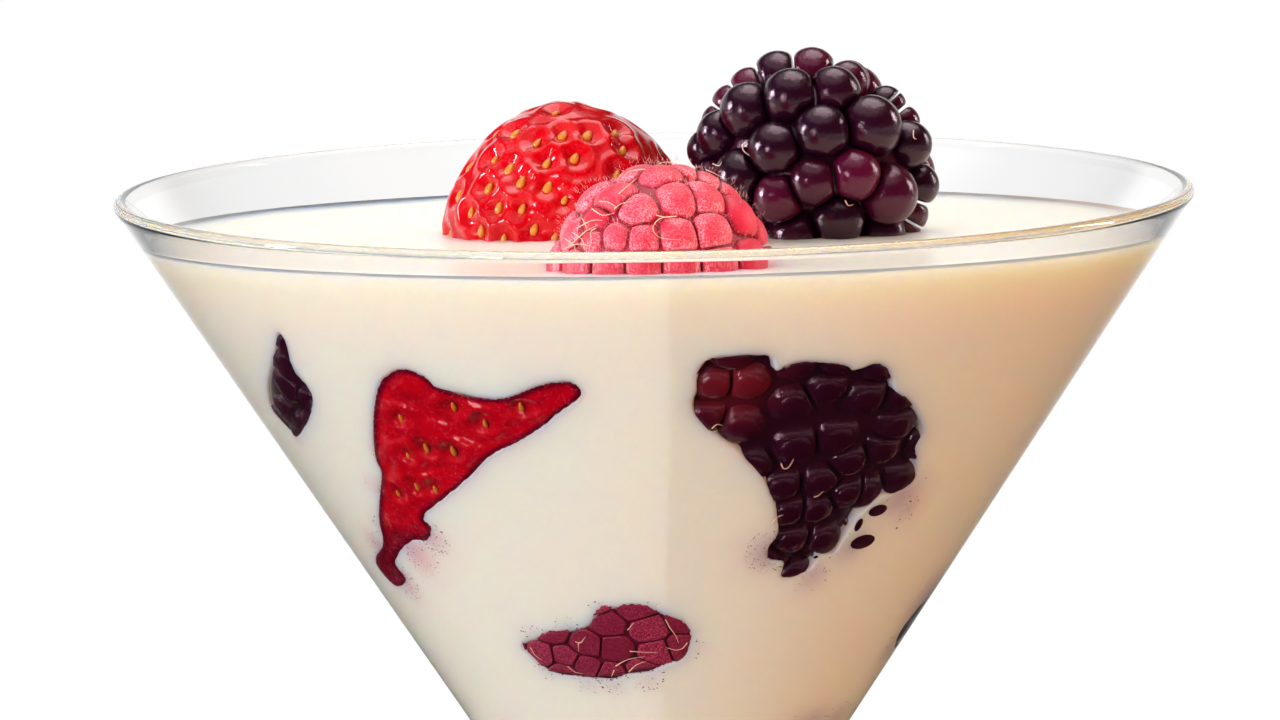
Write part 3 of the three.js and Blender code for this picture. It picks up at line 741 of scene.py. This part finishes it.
def top_distance(berry, points):
    """Roughly how far points lie outside a berry on top."""
    away = (points - berry["at"]) @ turning(berry)
    return np.linalg.norm(away, axis=1) * (1 - 1 / np.linalg.norm(away / berry["halves"], axis=1))


def lifted_surface(points):
    """Heights of the gelatin's top, with its meniscus and the rises where it clings to berries."""
    height = surface_height(points[:, 1])
    height += 0.06 * noise(points * [1, 1, 0], 9.0, 5)
    for berry in TOP_BERRIES.values():
        distance = top_distance(berry, np.column_stack([points[:, :2], height]))
        height += CLING_RISE * np.exp(-np.clip(distance, 0, None) / CLING_REACH)
    return height


def stains(points, distances):
    """How far berries stain points of the gelatin's wall pink or mauve."""
    stain = {"pink": np.zeros(len(points)), "mauve": np.zeros(len(points))}
    for name, berry in WALL_BERRIES.items():
        colour = "pink" if berry["kind"] == "strawberry" else "mauve"
        reach = 0.5 + 0.35 * noise(points, 5.0, 3)
        stain[colour] = np.maximum(stain[colour], 0.45 * np.exp(-np.clip(distances[name], 0, None) / reach))
        places = wall_places(berry, points)
        for along, up, reach, share, _ in berry.get("stains", []):
            near = np.linalg.norm(places - [along, up], axis=1) / reach
            stain[colour] = np.maximum(stain[colour], share * np.exp(-near * near))
    return stain


def gelatin_lid():
    """The gelatin's top, in rings from its edge on the wall to the axis."""
    turn = np.arange(RIM_SIDES) * (2 * math.pi / RIM_SIDES) - math.pi
    rim = on_wall(turn, gelatin_top(turn), INNER - INTO_WALL)
    steps = np.concatenate([np.linspace(0, 1, 6)[1:] ** 1.5 * MENISCUS_WIDTH,
                            MENISCUS_WIDTH + np.linspace(0, 1, 90)[1:-1] * (49 - MENISCUS_WIDTH)])
    rings = [rim]
    for step in steps:
        ring = rim * (1 - step / np.hypot(rim[:, 0], rim[:, 1]))[:, None]
        ring[:, 2] = lifted_surface(ring)
        ring[:, 2] += MENISCUS_RISE * np.clip(1 - step / MENISCUS_WIDTH, 0, 1) ** 2.2
        rings.append(ring)
    hub = rings[-1].mean(axis=0)
    last = len(rings) * RIM_SIDES
    lid_faces = ring_faces(len(rings), RIM_SIDES) + fan_faces(last - RIM_SIDES, RIM_SIDES, last)
    return Shape(np.vstack([*rings, hub]), lid_faces)


def make_gelatin():
    flat, faces = gelatin_side()
    points = side_points(flat)
    distances = {name: window_distance(berry, points) for name, berry in WALL_BERRIES.items()}
    distance = np.min(list(distances.values()), axis=0)
    inward = np.column_stack([-points[:, :2] / np.hypot(points[:, 0], points[:, 1])[:, None] * WALL_COS,
                              np.full(len(points), WALL_SIN)])
    side = Shape(points + inward * window_depth(distance)[:, None], faces)
    stain = stains(points, distances)
    whole = together([side, gelatin_lid(), bottom()])
    extra = len(whole.points) - len(points)
    pink = np.concatenate([stain["pink"], np.zeros(extra)])
    for name in ("strawberry_top", "raspberry_top"):
        near = np.exp(-np.clip(top_distance(TOP_BERRIES[name], whole.points), 0, None) / 0.9)
        pink = np.maximum(pink, 0.4 * near * (whole.points[:, 2] > SIDE_HIGH - 4))
    weld(add_piece("milk_gelatin", whole, [GELATIN], "gelatin", "gelatin",
                   pink=pink, mauve=np.concatenate([stain["mauve"], np.zeros(extra)])))


# ======== Berries on top ========
# at is the middle, rotate turns about X, Y and Z in degrees, and the long axis is X.
# seen lists the drupelets or seeds that show, as (right of the middle, above it) from the camera.
# hairs lists the points of each hair, and bare the patches without tone: (right, above, reach).
TOP_BERRIES = {
    "bramble_top": dict(
        kind="bramble", at=(15.5, -6, 177.4), rotate=(20, 3, -18), halves=(12.9, 11.4, 11.8),
        seen=[(-0.1, 10.5), (-3.7, 9.6), (-7, 8.8), (-9.1, 7.1), (-10.9, 5.4),
              (4.2, 10.1), (3.3, 8.2), (-2, 6.6), (-6.1, 5.4), (-8.8, 3.3),
              (-10.9, 1.9), (-3.5, 1.7), (0.9, 3.3), (5.5, 3.9), (7.7, 6.7),
              (9.2, 7.4), (9.1, 2.2), (10.9, 2.7), (10.4, 5.2), (11, -1.8),
              (7.1, -2.5), (4, -0.7), (0.1, -1.3), (2.5, -4.7), (-3.2, -2.7),
              (-6.6, -1), (6.4, -6.2), (9.3, -5.5), (11.3, -5.4), (-1.3, -6.4)],
        hairs=[[(-6.9, 2.3), (-6.8, 1.7), (-6.2, 1.2)], [(-9.8, 0.4), (-9.2, 0.2), (-8.9, 0.6)],
               [(9.9, 3.7), (9.9, 3), (10.2, 2.8)], [(3.2, -3.2), (3.5, -3.7), (4, -3.6)]]),
    "raspberry_top": dict(
        kind="raspberry", at=(0.6, -36, 171.4), rotate=(0, -4, 205), halves=(10.6, 8.6, 9.7),
        seen=[(3.6, 5.9), (4.3, 3.2), (1.9, 8.9), (4.3, 8.1), (-0.1, 7.8),
              (-1.9, 7.9), (-2.1, 5), (1.4, 5.9), (-4, 5.9), (-4, 2.7),
              (-1.7, 2.5), (-5.7, 4.1), (-6.1, 2.3), (1.4, 2.7), (-7.6, 2.7),
              (6.2, 7), (8.2, 3), (6.7, 4.5), (-9.6, 0.3), (-7.2, 0.2),
              (-4.6, 0.1), (-1.7, 0.2), (1.6, 0.2), (4.9, 0.4), (7.6, 0.5),
              (9.8, 0.7)],
        bare=[(8.7, 3.2, 2.8), (6.9, 6.2, 1.6), (-0.1, 4.1, 1.3)],
        hairs=[[(1.4, 4.9), (-0.1, 4.7), (-0.8, 3.8), (-0.1, 2.9), (1.8, 2.7)],
               [(-0.5, 5), (0.5, 4.8), (1.3, 4.9)], [(-8.7, 2), (-7.2, 3.4), (-5.9, 4.1)],
               [(-8.3, 3.4), (-7.4, 2.7), (-7.2, 1.8)], [(-6.1, 3.8), (-6.6, 3.4), (-6.5, 2.3)],
               [(-4.4, 5.6), (-3.7, 6.1), (-2.6, 6.3)], [(-4, 7), (-3.3, 7.6), (-2.2, 8.5)],
               [(-6.5, 5.6), (-5.5, 5), (-4.4, 5.2)], [(-7.9, 3.8), (-6.5, 4.5), (-5.5, 4.5)],
               [(-9.2, 1.8), (-7.9, 2.3), (-6.5, 2.1)], [(-1.5, 9.3), (-3, 9.1), (-3.7, 8.3)],
               [(-7.4, 4.7), (-7, 3.7), (-7.6, 3)], [(-5.8, 6.3), (-4.9, 6.2), (-4.2, 5.7)],
               [(-9, 2.8), (-8.2, 2.2), (-8, 1.4)], [(1.3, 9.8), (0.4, 10), (-0.5, 9.7)],
               [(4.2, 9.4), (5.2, 9.5), (5.8, 8.9)]]),
    "strawberry_top": dict(
        kind="strawberry", at=(-8.9, -0.6, 171.6), rotate=(0, -65, 20), halves=(11.5, 11.4, 11.4),
        seen=[(-9.4, 1.2), (-8.4, -0.7), (-6.1, -1.5), (-6.6, 1.7), (-7.6, 3.7), (-4.3, 4.3), (-7, 6.6),
              (-4.2, 1.6), (-3, -0.5), (-0.9, -1.3), (-1.6, 3.8), (0.1, 2.5), (2.5, 2.4), (1.1, 6.7),
              (-1.7, 6.2), (-5.5, 5.6), (-0.1, 9), (2.4, 9), (5.2, 9.2), (6, 7.5), (5.4, 5),
              (-2.7, 8.3)]),
}


def turning(berry):
    """The rotation from a top berry's own axes to the frame's."""
    turns = [Matrix.Rotation(math.radians(angle), 3, axis) for angle, axis in zip(berry["rotate"], "XYZ")]
    return np.array(turns[0] @ turns[1] @ turns[2])


# ======== Camera ========
CAMERA_AT = (0, -700, 252.83)
CAMERA_DOWN = 7.719  # degrees
CAMERA_RIGHT = -0.132
CAMERA_ROLL = -0.881
LENS = 201.47  # for a sensor 36 wide


def camera_axes():
    """The camera's right, up and backward directions, as a matrix's columns."""
    return (Matrix.Rotation(math.radians(-CAMERA_RIGHT), 3, "Z")
            @ Matrix.Rotation(math.radians(90 - CAMERA_DOWN), 3, "X")
            @ Matrix.Rotation(math.radians(CAMERA_ROLL), 3, "Z"))


def make_camera():
    data = bpy.data.cameras.new("camera")
    data.lens = LENS
    data.sensor_width = 36
    data.clip_start, data.clip_end = 0.05, 50
    camera = bpy.data.objects.new("camera", data)
    scene.collection.objects.link(camera)
    camera.matrix_world = Matrix.Translation(Vector(CAMERA_AT) * MM) @ camera_axes().to_4x4()
    scene.camera = camera


def seen_rays(middle, seen):
    """Camera rays through points right of and above a middle, as the camera sees them."""
    axes = np.array(camera_axes())
    start = np.array(CAMERA_AT, float)
    seen = np.asarray(seen, float)
    through = np.asarray(middle) + seen[:, :1] * axes[:, 0] + seen[:, 1:] * axes[:, 1]
    return start, unit_rows(through - start)


# ======== Beads: the drupelets of brambles and raspberries ========
def on_ellipsoid(halves, start, aim):
    """Where rays first meet an ellipsoid about the origin, or the nearest place on it where they miss."""
    start, aim = start / halves, aim / halves
    a = np.sum(aim * aim, axis=1)
    b = aim @ start
    c = start @ start - 1
    along = (-b - np.sqrt(np.clip(b * b - a * c, 0, None))) / a
    return unit_rows(start + along[:, None] * aim) * halves


def spread_over(halves, count):
    """Points spread evenly over an ellipsoid."""
    share = 1 - (2 * np.arange(count) + 1) / count
    turn = np.arange(count) * math.pi * (3 - math.sqrt(5))
    across = np.sqrt(1 - share * share)
    return np.column_stack([share, across * np.cos(turn), across * np.sin(turn)]) * halves


def filled_in(placed, candidates, pitch):
    """The placed points, then each candidate that lies farthest from all, until none is a pitch away."""
    placed = list(placed)
    distance = np.full(len(candidates), 1e9)
    for point in placed:
        distance = np.minimum(distance, np.linalg.norm(candidates - point, axis=1))
    while distance.max() > pitch:
        point = candidates[distance.argmax()]
        placed.append(point)
        distance = np.minimum(distance, np.linalg.norm(candidates - point, axis=1))
    return np.array(placed)


def crowded_sizes(middles, share):
    """Radii at which beads meet their nearest neighbours; above a half, they press against each other."""
    apart = np.linalg.norm(middles[:, None] - middles[None], axis=2)
    return share * np.sort(apart, axis=1)[:, 1:6].mean(axis=1)


def beads(middles, normals, sizes, seed, tall):
    """Drupelets that press each other flat where they meet."""
    unit, faces = ball(4)
    made = []
    tones = random_for(np.arange(len(middles)), seed)
    for i, (middle, normal, size) in enumerate(zip(middles, normals, sizes)):
        side = np.cross(normal, [0.31, 0.2, 0.93])
        side /= np.linalg.norm(side)
        axes = np.stack([side, np.cross(normal, side), normal * tall])
        points = middle + size * unit @ axes
        away = np.linalg.norm(middles - middle, axis=1)
        for j in np.nonzero((away > 0) & (away < 1.15 * (size + sizes)))[0]:
            toward = (middles[j] - middle) / away[j]
            border = away[j] * size / (size + sizes[j])
            over = (points - middle) @ toward - border
            points -= np.logaddexp(0, (over + 0.12) / 0.16)[:, None] * 0.16 * toward
        made.append(Shape(points, faces, tones[i], unit[:, 2]))
    return together(made)


def seen_hairs(berry):
    """Hairs that lie over a berry on top, each through places that the camera sees."""
    halves = np.array(berry["halves"]) + 0.25
    axes = turning(berry)
    made = []
    for row in berry.get("hairs", []):
        start, aim = seen_rays(berry["at"], row)
        curve = on_ellipsoid(halves, (start - berry["at"]) @ axes, aim @ axes)
        made.append(hair(smooth_curve(curve, 5) @ axes.T + berry["at"], HAIR_RADIUS))
    return made


def fuzz(middles, normals, sizes, count):
    """Short fine hairs all over beads, as one shape."""
    number = np.arange(len(middles) * count)
    owner = number // count
    random = [random_for(number, seed) for seed in range(5)]
    turn, rise = math.tau * random[0], 0.15 + 0.8 * random[1]
    side = unit_rows(np.cross(normals[owner], [0.31, 0.2, 0.93]))
    other = np.cross(normals[owner], side)
    across = np.sqrt(1 - rise**2)[:, None]
    sideways = np.cos(turn)[:, None] * side + np.sin(turn)[:, None] * other
    out = rise[:, None] * normals[owner] + across * sideways
    root = middles[owner] + 0.97 * sizes[owner][:, None] * out
    bend = np.column_stack(random[2:]) - 0.5
    reach = FUZZ_LENGTH * (0.6 + 0.7 * random[4])[:, None]
    bent, tip = root + reach * (0.5 * out + 0.25 * bend), root + reach * (0.8 * out + 0.9 * bend)
    ring = np.array([(1, 0, 0), (-0.5, 0.87, 0), (-0.5, -0.87, 0)]) * FUZZ_RADIUS
    points = np.concatenate([root[:, None] + ring, bent[:, None] + ring * 0.8, tip[:, None]], axis=1)
    faces = []
    for start in range(0, 7 * len(number), 7):
        faces.append([start + 2, start + 1, start])
        for i, j in ((0, 1), (1, 2), (2, 0)):
            faces.append([start + i, start + j, start + 3 + j, start + 3 + i])
            faces.append([start + 3 + i, start + 3 + j, start + 6])
    return Shape(points.reshape(-1, 3), faces, part=2)


def make_bead_berry(name, pitch, tall, crowding, core_rise, looks, fuzz_each):
    """A bramble or raspberry on top: beads round a core, with hairs and fuzz."""
    berry = TOP_BERRIES[name]
    axes = turning(berry)
    halves = np.array(berry["halves"])
    seen = np.array(berry["seen"])
    seat = halves - crowding * tall * pitch
    start, aim = seen_rays(berry["at"], seen)
    middles = on_ellipsoid(seat, (start - berry["at"]) @ axes, aim @ axes)
    middles = filled_in(middles, spread_over(seat, 900), 0.86 * pitch)
    normals = unit_rows(middles / seat**2)
    sizes = crowded_sizes(middles, crowding)
    unit, faces = ball(4)
    core = Shape(unit * (seat + core_rise), faces, crown=-1)
    whole = together([beads(middles, normals, sizes, len(seen), tall), core,
                      fuzz(middles, normals, sizes, fuzz_each)])
    whole.points = whole.points @ axes.T + berry["at"]
    across = (whole.points - berry["at"]) @ np.array(camera_axes())
    for right, above, reach in berry.get("bare", []):
        near = np.hypot(across[:, 0] - right, across[:, 1] - above) / reach
        whole.tone *= 1 - np.exp(-near**4) * (across[:, 2] > 0)
    whole = together([whole, *seen_hairs(berry)])
    over = (whole.points[:, 2].max() - berry["at"][2]) / (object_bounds()[1].z / MM - berry["at"][2])
    whole.points = (whole.points - berry["at"]) / max(over, 1) + berry["at"]
    add_berry(name, berry, whole, looks)


# ======== Strawberries ========
def strawberry_width(share):
    """Half width, as a share of the widest, at a share of the length towards the tip."""
    widest = 0.43
    calyx = np.sqrt(np.clip(1 - ((widest - share) / widest) ** 2, 0, 1))
    tip = np.clip(np.cos((share - widest) / (1 - widest) * math.pi / 2), 0, 1) ** 0.32
    return np.where(share < widest, calyx, tip)


def seeds(places, normals, points_to, halves):
    """Seeds lying on a skin, each along the skin towards points_to."""
    unit, faces = ball(3)
    made = []
    sizes = 0.75 + 0.45 * random_for(np.arange(len(places)), 4)
    for place, normal, size in zip(places, normals, sizes):
        along = points_to - place
        along -= normal * (along @ normal)
        along /= np.linalg.norm(along)
        axes = np.stack([along, np.cross(normal, along), normal])
        taper = size * (1 - 0.28 * unit[:, :1] * [0, 1, 0.6])
        made.append(Shape(place + (unit * halves * taper) @ axes, faces, part=1))
    return together(made)


def make_top_strawberry():
    name = "strawberry_top"
    berry = TOP_BERRIES[name]
    axes = turning(berry)
    long, deep, wide = berry["halves"]
    unit, faces = ball(7)
    share = (1 + unit[:, 0]) / 2
    ring = np.hypot(unit[:, 1], unit[:, 2]) + 1e-9
    width = strawberry_width(share)
    body = np.column_stack([
        unit[:, 0] * long, unit[:, 1] / ring * width * deep, unit[:, 2] / ring * width * wide])
    body = body @ axes.T + berry["at"]
    tree = BVHTree.FromPolygons([Vector(p) for p in body], faces)
    start, aim = seen_rays(berry["at"], berry["seen"])
    hits = [tree.ray_cast(Vector(start), Vector(a)) for a in aim]
    placed = np.array([hit[0] for hit in hits if hit[0] is not None])
    placed = filled_in(placed, body[::9], SEED_PITCH)
    nearest = [tree.find_nearest(Vector(p)) for p in placed]
    normals = np.array([hit[1] for hit in nearest])
    outward = unit_rows(body - np.array(berry["at"]))
    dip = np.zeros(len(body))
    for place in placed:
        distance = np.linalg.norm(body - place, axis=1)
        dip += 0.62 * np.exp(-(distance / 0.95) ** 2) - 0.16 * np.exp(-((distance - 1.75) / 0.5) ** 2)
    dip += 0.12 * noise(body, 4.0, 2)
    skin = Shape(body - outward * dip[:, None], faces)
    tip = np.array(berry["at"]) + axes @ [long, 0, 0]
    kept = [i for i, p in enumerate(placed) if np.linalg.norm(p - tip) > 1.5]
    grains = seeds(placed[kept] - normals[kept] * SEED_SINK, normals[kept], tip, SEED)
    add_berry(name, berry, together([skin, grains]), [STRAWBERRY, SEED_SKIN])


# ======== Sunken berries ========
def sunken(berry, unit, grow=0.0):
    """A sunken berry's places and depths from a unit sphere's points, whose front is towards -Y."""
    long, deep, wide = (half + grow for half in berry["halves"])
    lean = math.radians(berry["lean"])
    x, y, z = unit.T
    places = np.column_stack([long * x * math.cos(lean) - wide * z * math.sin(lean),
                              long * x * math.sin(lean) + wide * z * math.cos(lean)])
    return places, INNER + SKIN + np.where(y < 0, 0, PRESSED + deep * y)


def wall_normals(points):
    """The outward directions of the bowl's wall beside points."""
    radius = np.hypot(points[:, 0], points[:, 1])[:, None]
    return np.column_stack([points[:, :2] / radius * WALL_COS, np.full(len(points), -WALL_SIN)])


def honeycomb(outline, pitch, margin):
    """Staggered places in and around an outline."""
    low, high = np.min(outline, axis=0) - margin, np.max(outline, axis=0) + margin
    along, up = np.meshgrid(np.arange(low[0], high[0], pitch), np.arange(low[1], high[1], 0.866 * pitch))
    along[1::2] += pitch / 2
    places = np.column_stack([along.ravel(), up.ravel()])
    spots = np.column_stack([places, places[:, 0]])
    places += 0.14 * pitch * np.column_stack([noise(spots, 1.7, seed) for seed in (1, 2)])
    return places[outline_distance(np.array(outline), places) < margin]


def pressed_on_glass(berry, points):
    """Points of a sunken berry, flat where it meets the glass and under the gelatin outside its window."""
    depth = (cone_radius(points[:, 2], 0) - np.hypot(points[:, 0], points[:, 1])) * WALL_COS
    level = INNER + SKIN + np.clip(window_distance(berry, points), 0, 6)
    lowered = level + np.logaddexp(0, (depth - level) / 0.12) * 0.12
    return points - wall_normals(points) * (lowered - depth)[:, None]


def dots(berry, rows, subdivisions):
    """Flat dots on the glass: (along, up, half length, half height) each."""
    unit, faces = ball(subdivisions)
    made = []
    for along, up, long, high in rows:
        places = np.column_stack([along + long * unit[:, 0], up + high * unit[:, 2]])
        made.append(Shape(behind_glass(berry, places, INNER + SKIN + 0.08 + 0.12 * unit[:, 1]), faces, 0.0))
    return made


def specks(berry):
    """Fine dots scattered through a berry's stains."""
    rows = []
    for number, (along, up, reach, _, count) in enumerate(berry.get("stains", [])):
        steps = np.arange(count)
        random, turn, size = (
            lattice(np.column_stack([steps, np.full(count, number), np.full(count, k)]), k + 1)
            for k in range(3))
        away = reach * np.sqrt(random) * 1.2
        rows += zip(along + away * np.cos(math.tau * turn), up + away * np.sin(math.tau * turn),
                    0.04 + 0.09 * size**3, 0.04 + 0.07 * size**3)
    return dots(berry, rows, 1)


def wall_hairs(berry):
    return [hair(behind_glass(berry, smooth_curve(row, 5), INNER + SKIN), WALL_HAIR_RADIUS)
            for row in berry.get("hairs", [])]


def make_sunken_beads(name, pitch, skin):
    """A bramble or raspberry against the glass: beads in its window, before a core."""
    berry = WALL_BERRIES[name]
    if berry["seen"]:
        candidates = honeycomb(berry["outline"], 0.9, berry.get("margin", 2.0))
        places = filled_in(berry["seen"], candidates, 0.8 * pitch)
    else:
        places = honeycomb(berry["outline"], 0.92 * pitch, 2.0)
    flatness, crowding, groove = PRESSING[berry.get("pressing", berry["kind"])]
    sizes = crowded_sizes(places, crowding)
    middles = behind_glass(berry, places, INNER + SKIN + sizes * SUNKEN_TALL * flatness)
    normals = wall_normals(middles)
    unit, faces = ball(5)
    core_places, core_depth = sunken(berry, unit, 0.3)
    core = Shape(behind_glass(berry, core_places, core_depth + groove), faces, 0.0, -1)
    whole = together([beads(middles, normals, sizes, len(places), SUNKEN_TALL), core])
    whole.points = pressed_on_glass(berry, whole.points)
    red = np.linalg.norm(wall_places(berry, whole.points) - RED_DRUPELETS, axis=1)
    whole.tone = 0.1 + 0.22 * whole.tone + 0.6 * np.exp(-(red / 5.5) ** 2)
    spots = dots(berry, berry.get("spots", []), 3)
    add_berry(name, berry, together([whole, *spots, *specks(berry), *wall_hairs(berry)]), [skin, HAIR])


def make_sunken_strawberry(name):
    berry = WALL_BERRIES[name]
    unit, faces = ball(7)
    places, depth = sunken(berry, unit, 0.8)
    marks = np.array(berry["seen"]).reshape(-1, 2)
    if not len(marks):
        marks = honeycomb(np.array(berry["outline"]), SEED_PITCH, -0.5)
    body = pressed_on_glass(berry, behind_glass(berry, places, depth))
    relief = 0.32 * noise(body, 2.4, 8) + 0.2 * noise(body, 1.1, 9)
    for mark in marks:
        distance = np.linalg.norm(places - mark, axis=1)
        relief -= 0.5 * np.exp(-(distance / 0.9) ** 2) - 0.16 * np.exp(-((distance - 1.6) / 0.45) ** 2)
    rim = np.clip(-window_distance(berry, body) / 1.2, 0, 1)
    front = (unit[:, 1] < 0) * rim
    body += (front * np.minimum(relief, 0.35))[:, None] * wall_normals(body)
    middles = behind_glass(berry, marks, INNER + SKIN + 0.3)
    normals = wall_normals(middles)
    grains = seeds(middles, normals, middles.mean(axis=0) + [0, 0, 300.0], SUNKEN_SEED)
    # Painted shade: the skin's tone darkens towards its window's edge and towards the bottom.
    painted_shading = np.clip(1.5 * rim, 0.15, 1) * np.clip(1 + (places[:, 1] + 3) / 11, 0.3, 1)
    skin = Shape(body, faces, 0.5 * painted_shading)
    add_berry(name, berry, together([skin, grains, *specks(berry)]), [SUNKEN_STRAWBERRY, SEED_SKIN])


# ======== Floor, lights and surroundings ========
def make_floor():
    """A white floor, shaded near the foot, that the glass and berries mirror only from afar."""
    mesh = bpy.data.meshes.new("floor")
    half = 6.0
    corners = [(-half, -half, 0), (half, -half, 0), (half, half, 0), (-half, half, 0)]
    mesh.from_pydata(corners, [], [(0, 1, 2, 3)])
    look = Look("white_floor", Roughness=0.9, Specular_IOR_Level=0.1, Emission_Color=(1, 1, 1))
    away = look.add("VectorMath", [(0, look.place.outputs[0])], operation="LENGTH").outputs["Value"]
    far = look.math("ADD", look.spread(away, 150, 500), look.spread(look.noise(60.0), 0.3, 0.7, 0.0, 0.004))
    look.set(Base_Color=look.mix(far, (0.6, 0.6, 0.6), (0.01, 0.01, 0.01)),
             Emission_Strength=look.spread(far, 0.0, 1.0, 0.35, 0.985))
    mirrored = look.add("Emission", [
        ("Color", (1, 1, 1)), ("Strength", look.spread(away, 250, 1100, 0.01, 0.9))])
    path = look.add("LightPath")
    turned_back = look.math("ADD", path.outputs["Glossy Depth"], path.outputs["Diffuse Depth"])
    shown = look.math("LESS_THAN", turned_back, 0.5)
    look.show_mix(shown, mirrored.outputs[0], look.shader.outputs[0])
    mesh.materials.append(look.material)
    floor = bpy.data.objects.new("floor", mesh)
    scene.collection.objects.link(floor)
    floor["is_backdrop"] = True


def add_lamp(name, azimuth, elevation, distance, size, strength, colour=(1, 1, 1),
             mirrored="open behind", lights=True):
    """A rectangular lamp aimed at the berries; azimuth from the front towards +X.

    mirrored says where pieces mirror it, in the open or behind the glass, and lights whether it
    lights them too.
    """
    data = bpy.data.lights.new(name, "AREA")
    data.shape = "RECTANGLE"
    data.size, data.size_y = size
    data.energy = strength
    data.color = colour
    lamp = bpy.data.objects.new(name, data)
    scene.collection.objects.link(lamp)
    a, e = math.radians(azimuth), math.radians(elevation)
    back = Vector((math.sin(a) * math.cos(e), -math.cos(a) * math.cos(e), math.sin(e)))
    lamp.location = Vector((0, 0, 0.16)) + back * distance
    lamp.rotation_euler = back.to_track_quat("Z", "Y").to_euler()
    lamp.visible_camera = False
    lamp.visible_diffuse = lights
    lamp.visible_glossy = "open" in mirrored
    lamp.visible_transmission = "behind" in mirrored


def make_surroundings():
    """White behind and overhead, and darker in front, as the glossy berries mirror it."""
    world = bpy.data.worlds.new("studio")
    world.use_nodes = True
    tree = world.node_tree
    backdrop = tree.nodes["Background"]

    def add(kind, inputs, **settings):
        return add_node(tree, kind, inputs, settings).outputs[0]

    where = tree.nodes.new("ShaderNodeTexCoord")
    split = tree.nodes.new("ShaderNodeSeparateXYZ")
    tree.links.new(where.outputs["Generated"], split.inputs[0])
    x, y, z = split.outputs

    def ease(value, low, high):
        return add("MapRange", [(0, value), (1, low), (2, high)], interpolation_type="SMOOTHSTEP")

    low = add("Math", [(0, 1.0), (1, ease(z, 0.28, 0.38))], operation="SUBTRACT")
    behind = add("Math", [(0, ease(y, -0.12, 0.12)), (1, low)], operation="MULTIPLY")
    white = add("Math", [(0, behind), (1, ease(z, 0.66, 0.76))], operation="MAXIMUM")
    front = add("MixRGB", [(0, ease(x, -0.4, 0.5)), (1, (0.07, 0.07, 0.085)), (2, (0.06, 0.04, 0.025))])
    rear = add("MixRGB", [(0, ease(x, 0.35, 0.6)), (1, (1, 1, 1)), (2, (0.42, 0.33, 0.25))])
    colour = add("MixRGB", [(0, white), (1, front), (2, rear)])
    tree.links.new(colour, backdrop.inputs["Color"])
    scene.world = world


def make_lamps():
    add_lamp("key", -40, 3, 0.95, (1.0, 0.8), 25.5, (1.0, 0.985, 0.99), mirrored="")
    add_lamp("window", -84, 14, 0.8, (0.08, 0.24), 5.0, (0.90, 0.94, 1.0), lights=False)
    add_lamp("glint", -34, 10, 0.8, (0.09, 0.15), 1.4, lights=False)
    add_lamp("low_glint", -26, -15, 0.45, (0.09, 0.13), 1.2, mirrored="behind", lights=False)
    add_lamp("strip", 108, 18, 0.8, (0.05, 0.35), 2.0)
    add_lamp("warm_fill", 72, 3, 0.9, (0.6, 0.5), 9.5, (1.0, 0.60, 0.33), mirrored="")
    add_lamp("overhead", 150, 78, 0.9, (0.7, 0.7), 5.0, mirrored="open")


def set_picture():
    """How rays are followed and how the picture's colours are made."""
    scene.view_settings.view_transform = "Standard"
    scene.view_settings.look = "None"
    cycles = scene.cycles
    cycles.max_bounces = 16
    cycles.transmission_bounces = 12
    cycles.transparent_max_bounces = 16
    cycles.caustics_reflective = False
    cycles.caustics_refractive = False
    cycles.sample_clamp_indirect = 6.0


# ======== Assembly ========
make_camera()
make_floor()
make_surroundings()
make_lamps()
set_picture()
make_glass()
make_gelatin()
make_bead_berry("bramble_top", 4.3, 1.08, 0.61, -0.2, [BRAMBLE, HAIR], 0)
make_bead_berry("raspberry_top", 3.2, 0.74, 0.7, 0.75, [RASPBERRY, HAIR, FUZZ], 80)
make_top_strawberry()
for wall_name, pitch, skin in (
        ("bramble_wall", 4.2, SUNKEN_BRAMBLE), ("bramble_left", 3.6, SUNKEN_BRAMBLE),
        ("bramble_right", 3.4, SUNKEN_BRAMBLE), ("bramble_rear", 4.2, SUNKEN_BRAMBLE),
        ("raspberry_wall", 3.2, SUNKEN_RASPBERRY), ("raspberry_low", 3.0, SUNKEN_RASPBERRY),
        ("raspberry_rear", 3.4, SUNKEN_RASPBERRY)):
    make_sunken_beads(wall_name, pitch, skin)
for wall_name in ("strawberry_wall", "strawberry_rear"):
    make_sunken_strawberry(wall_name)
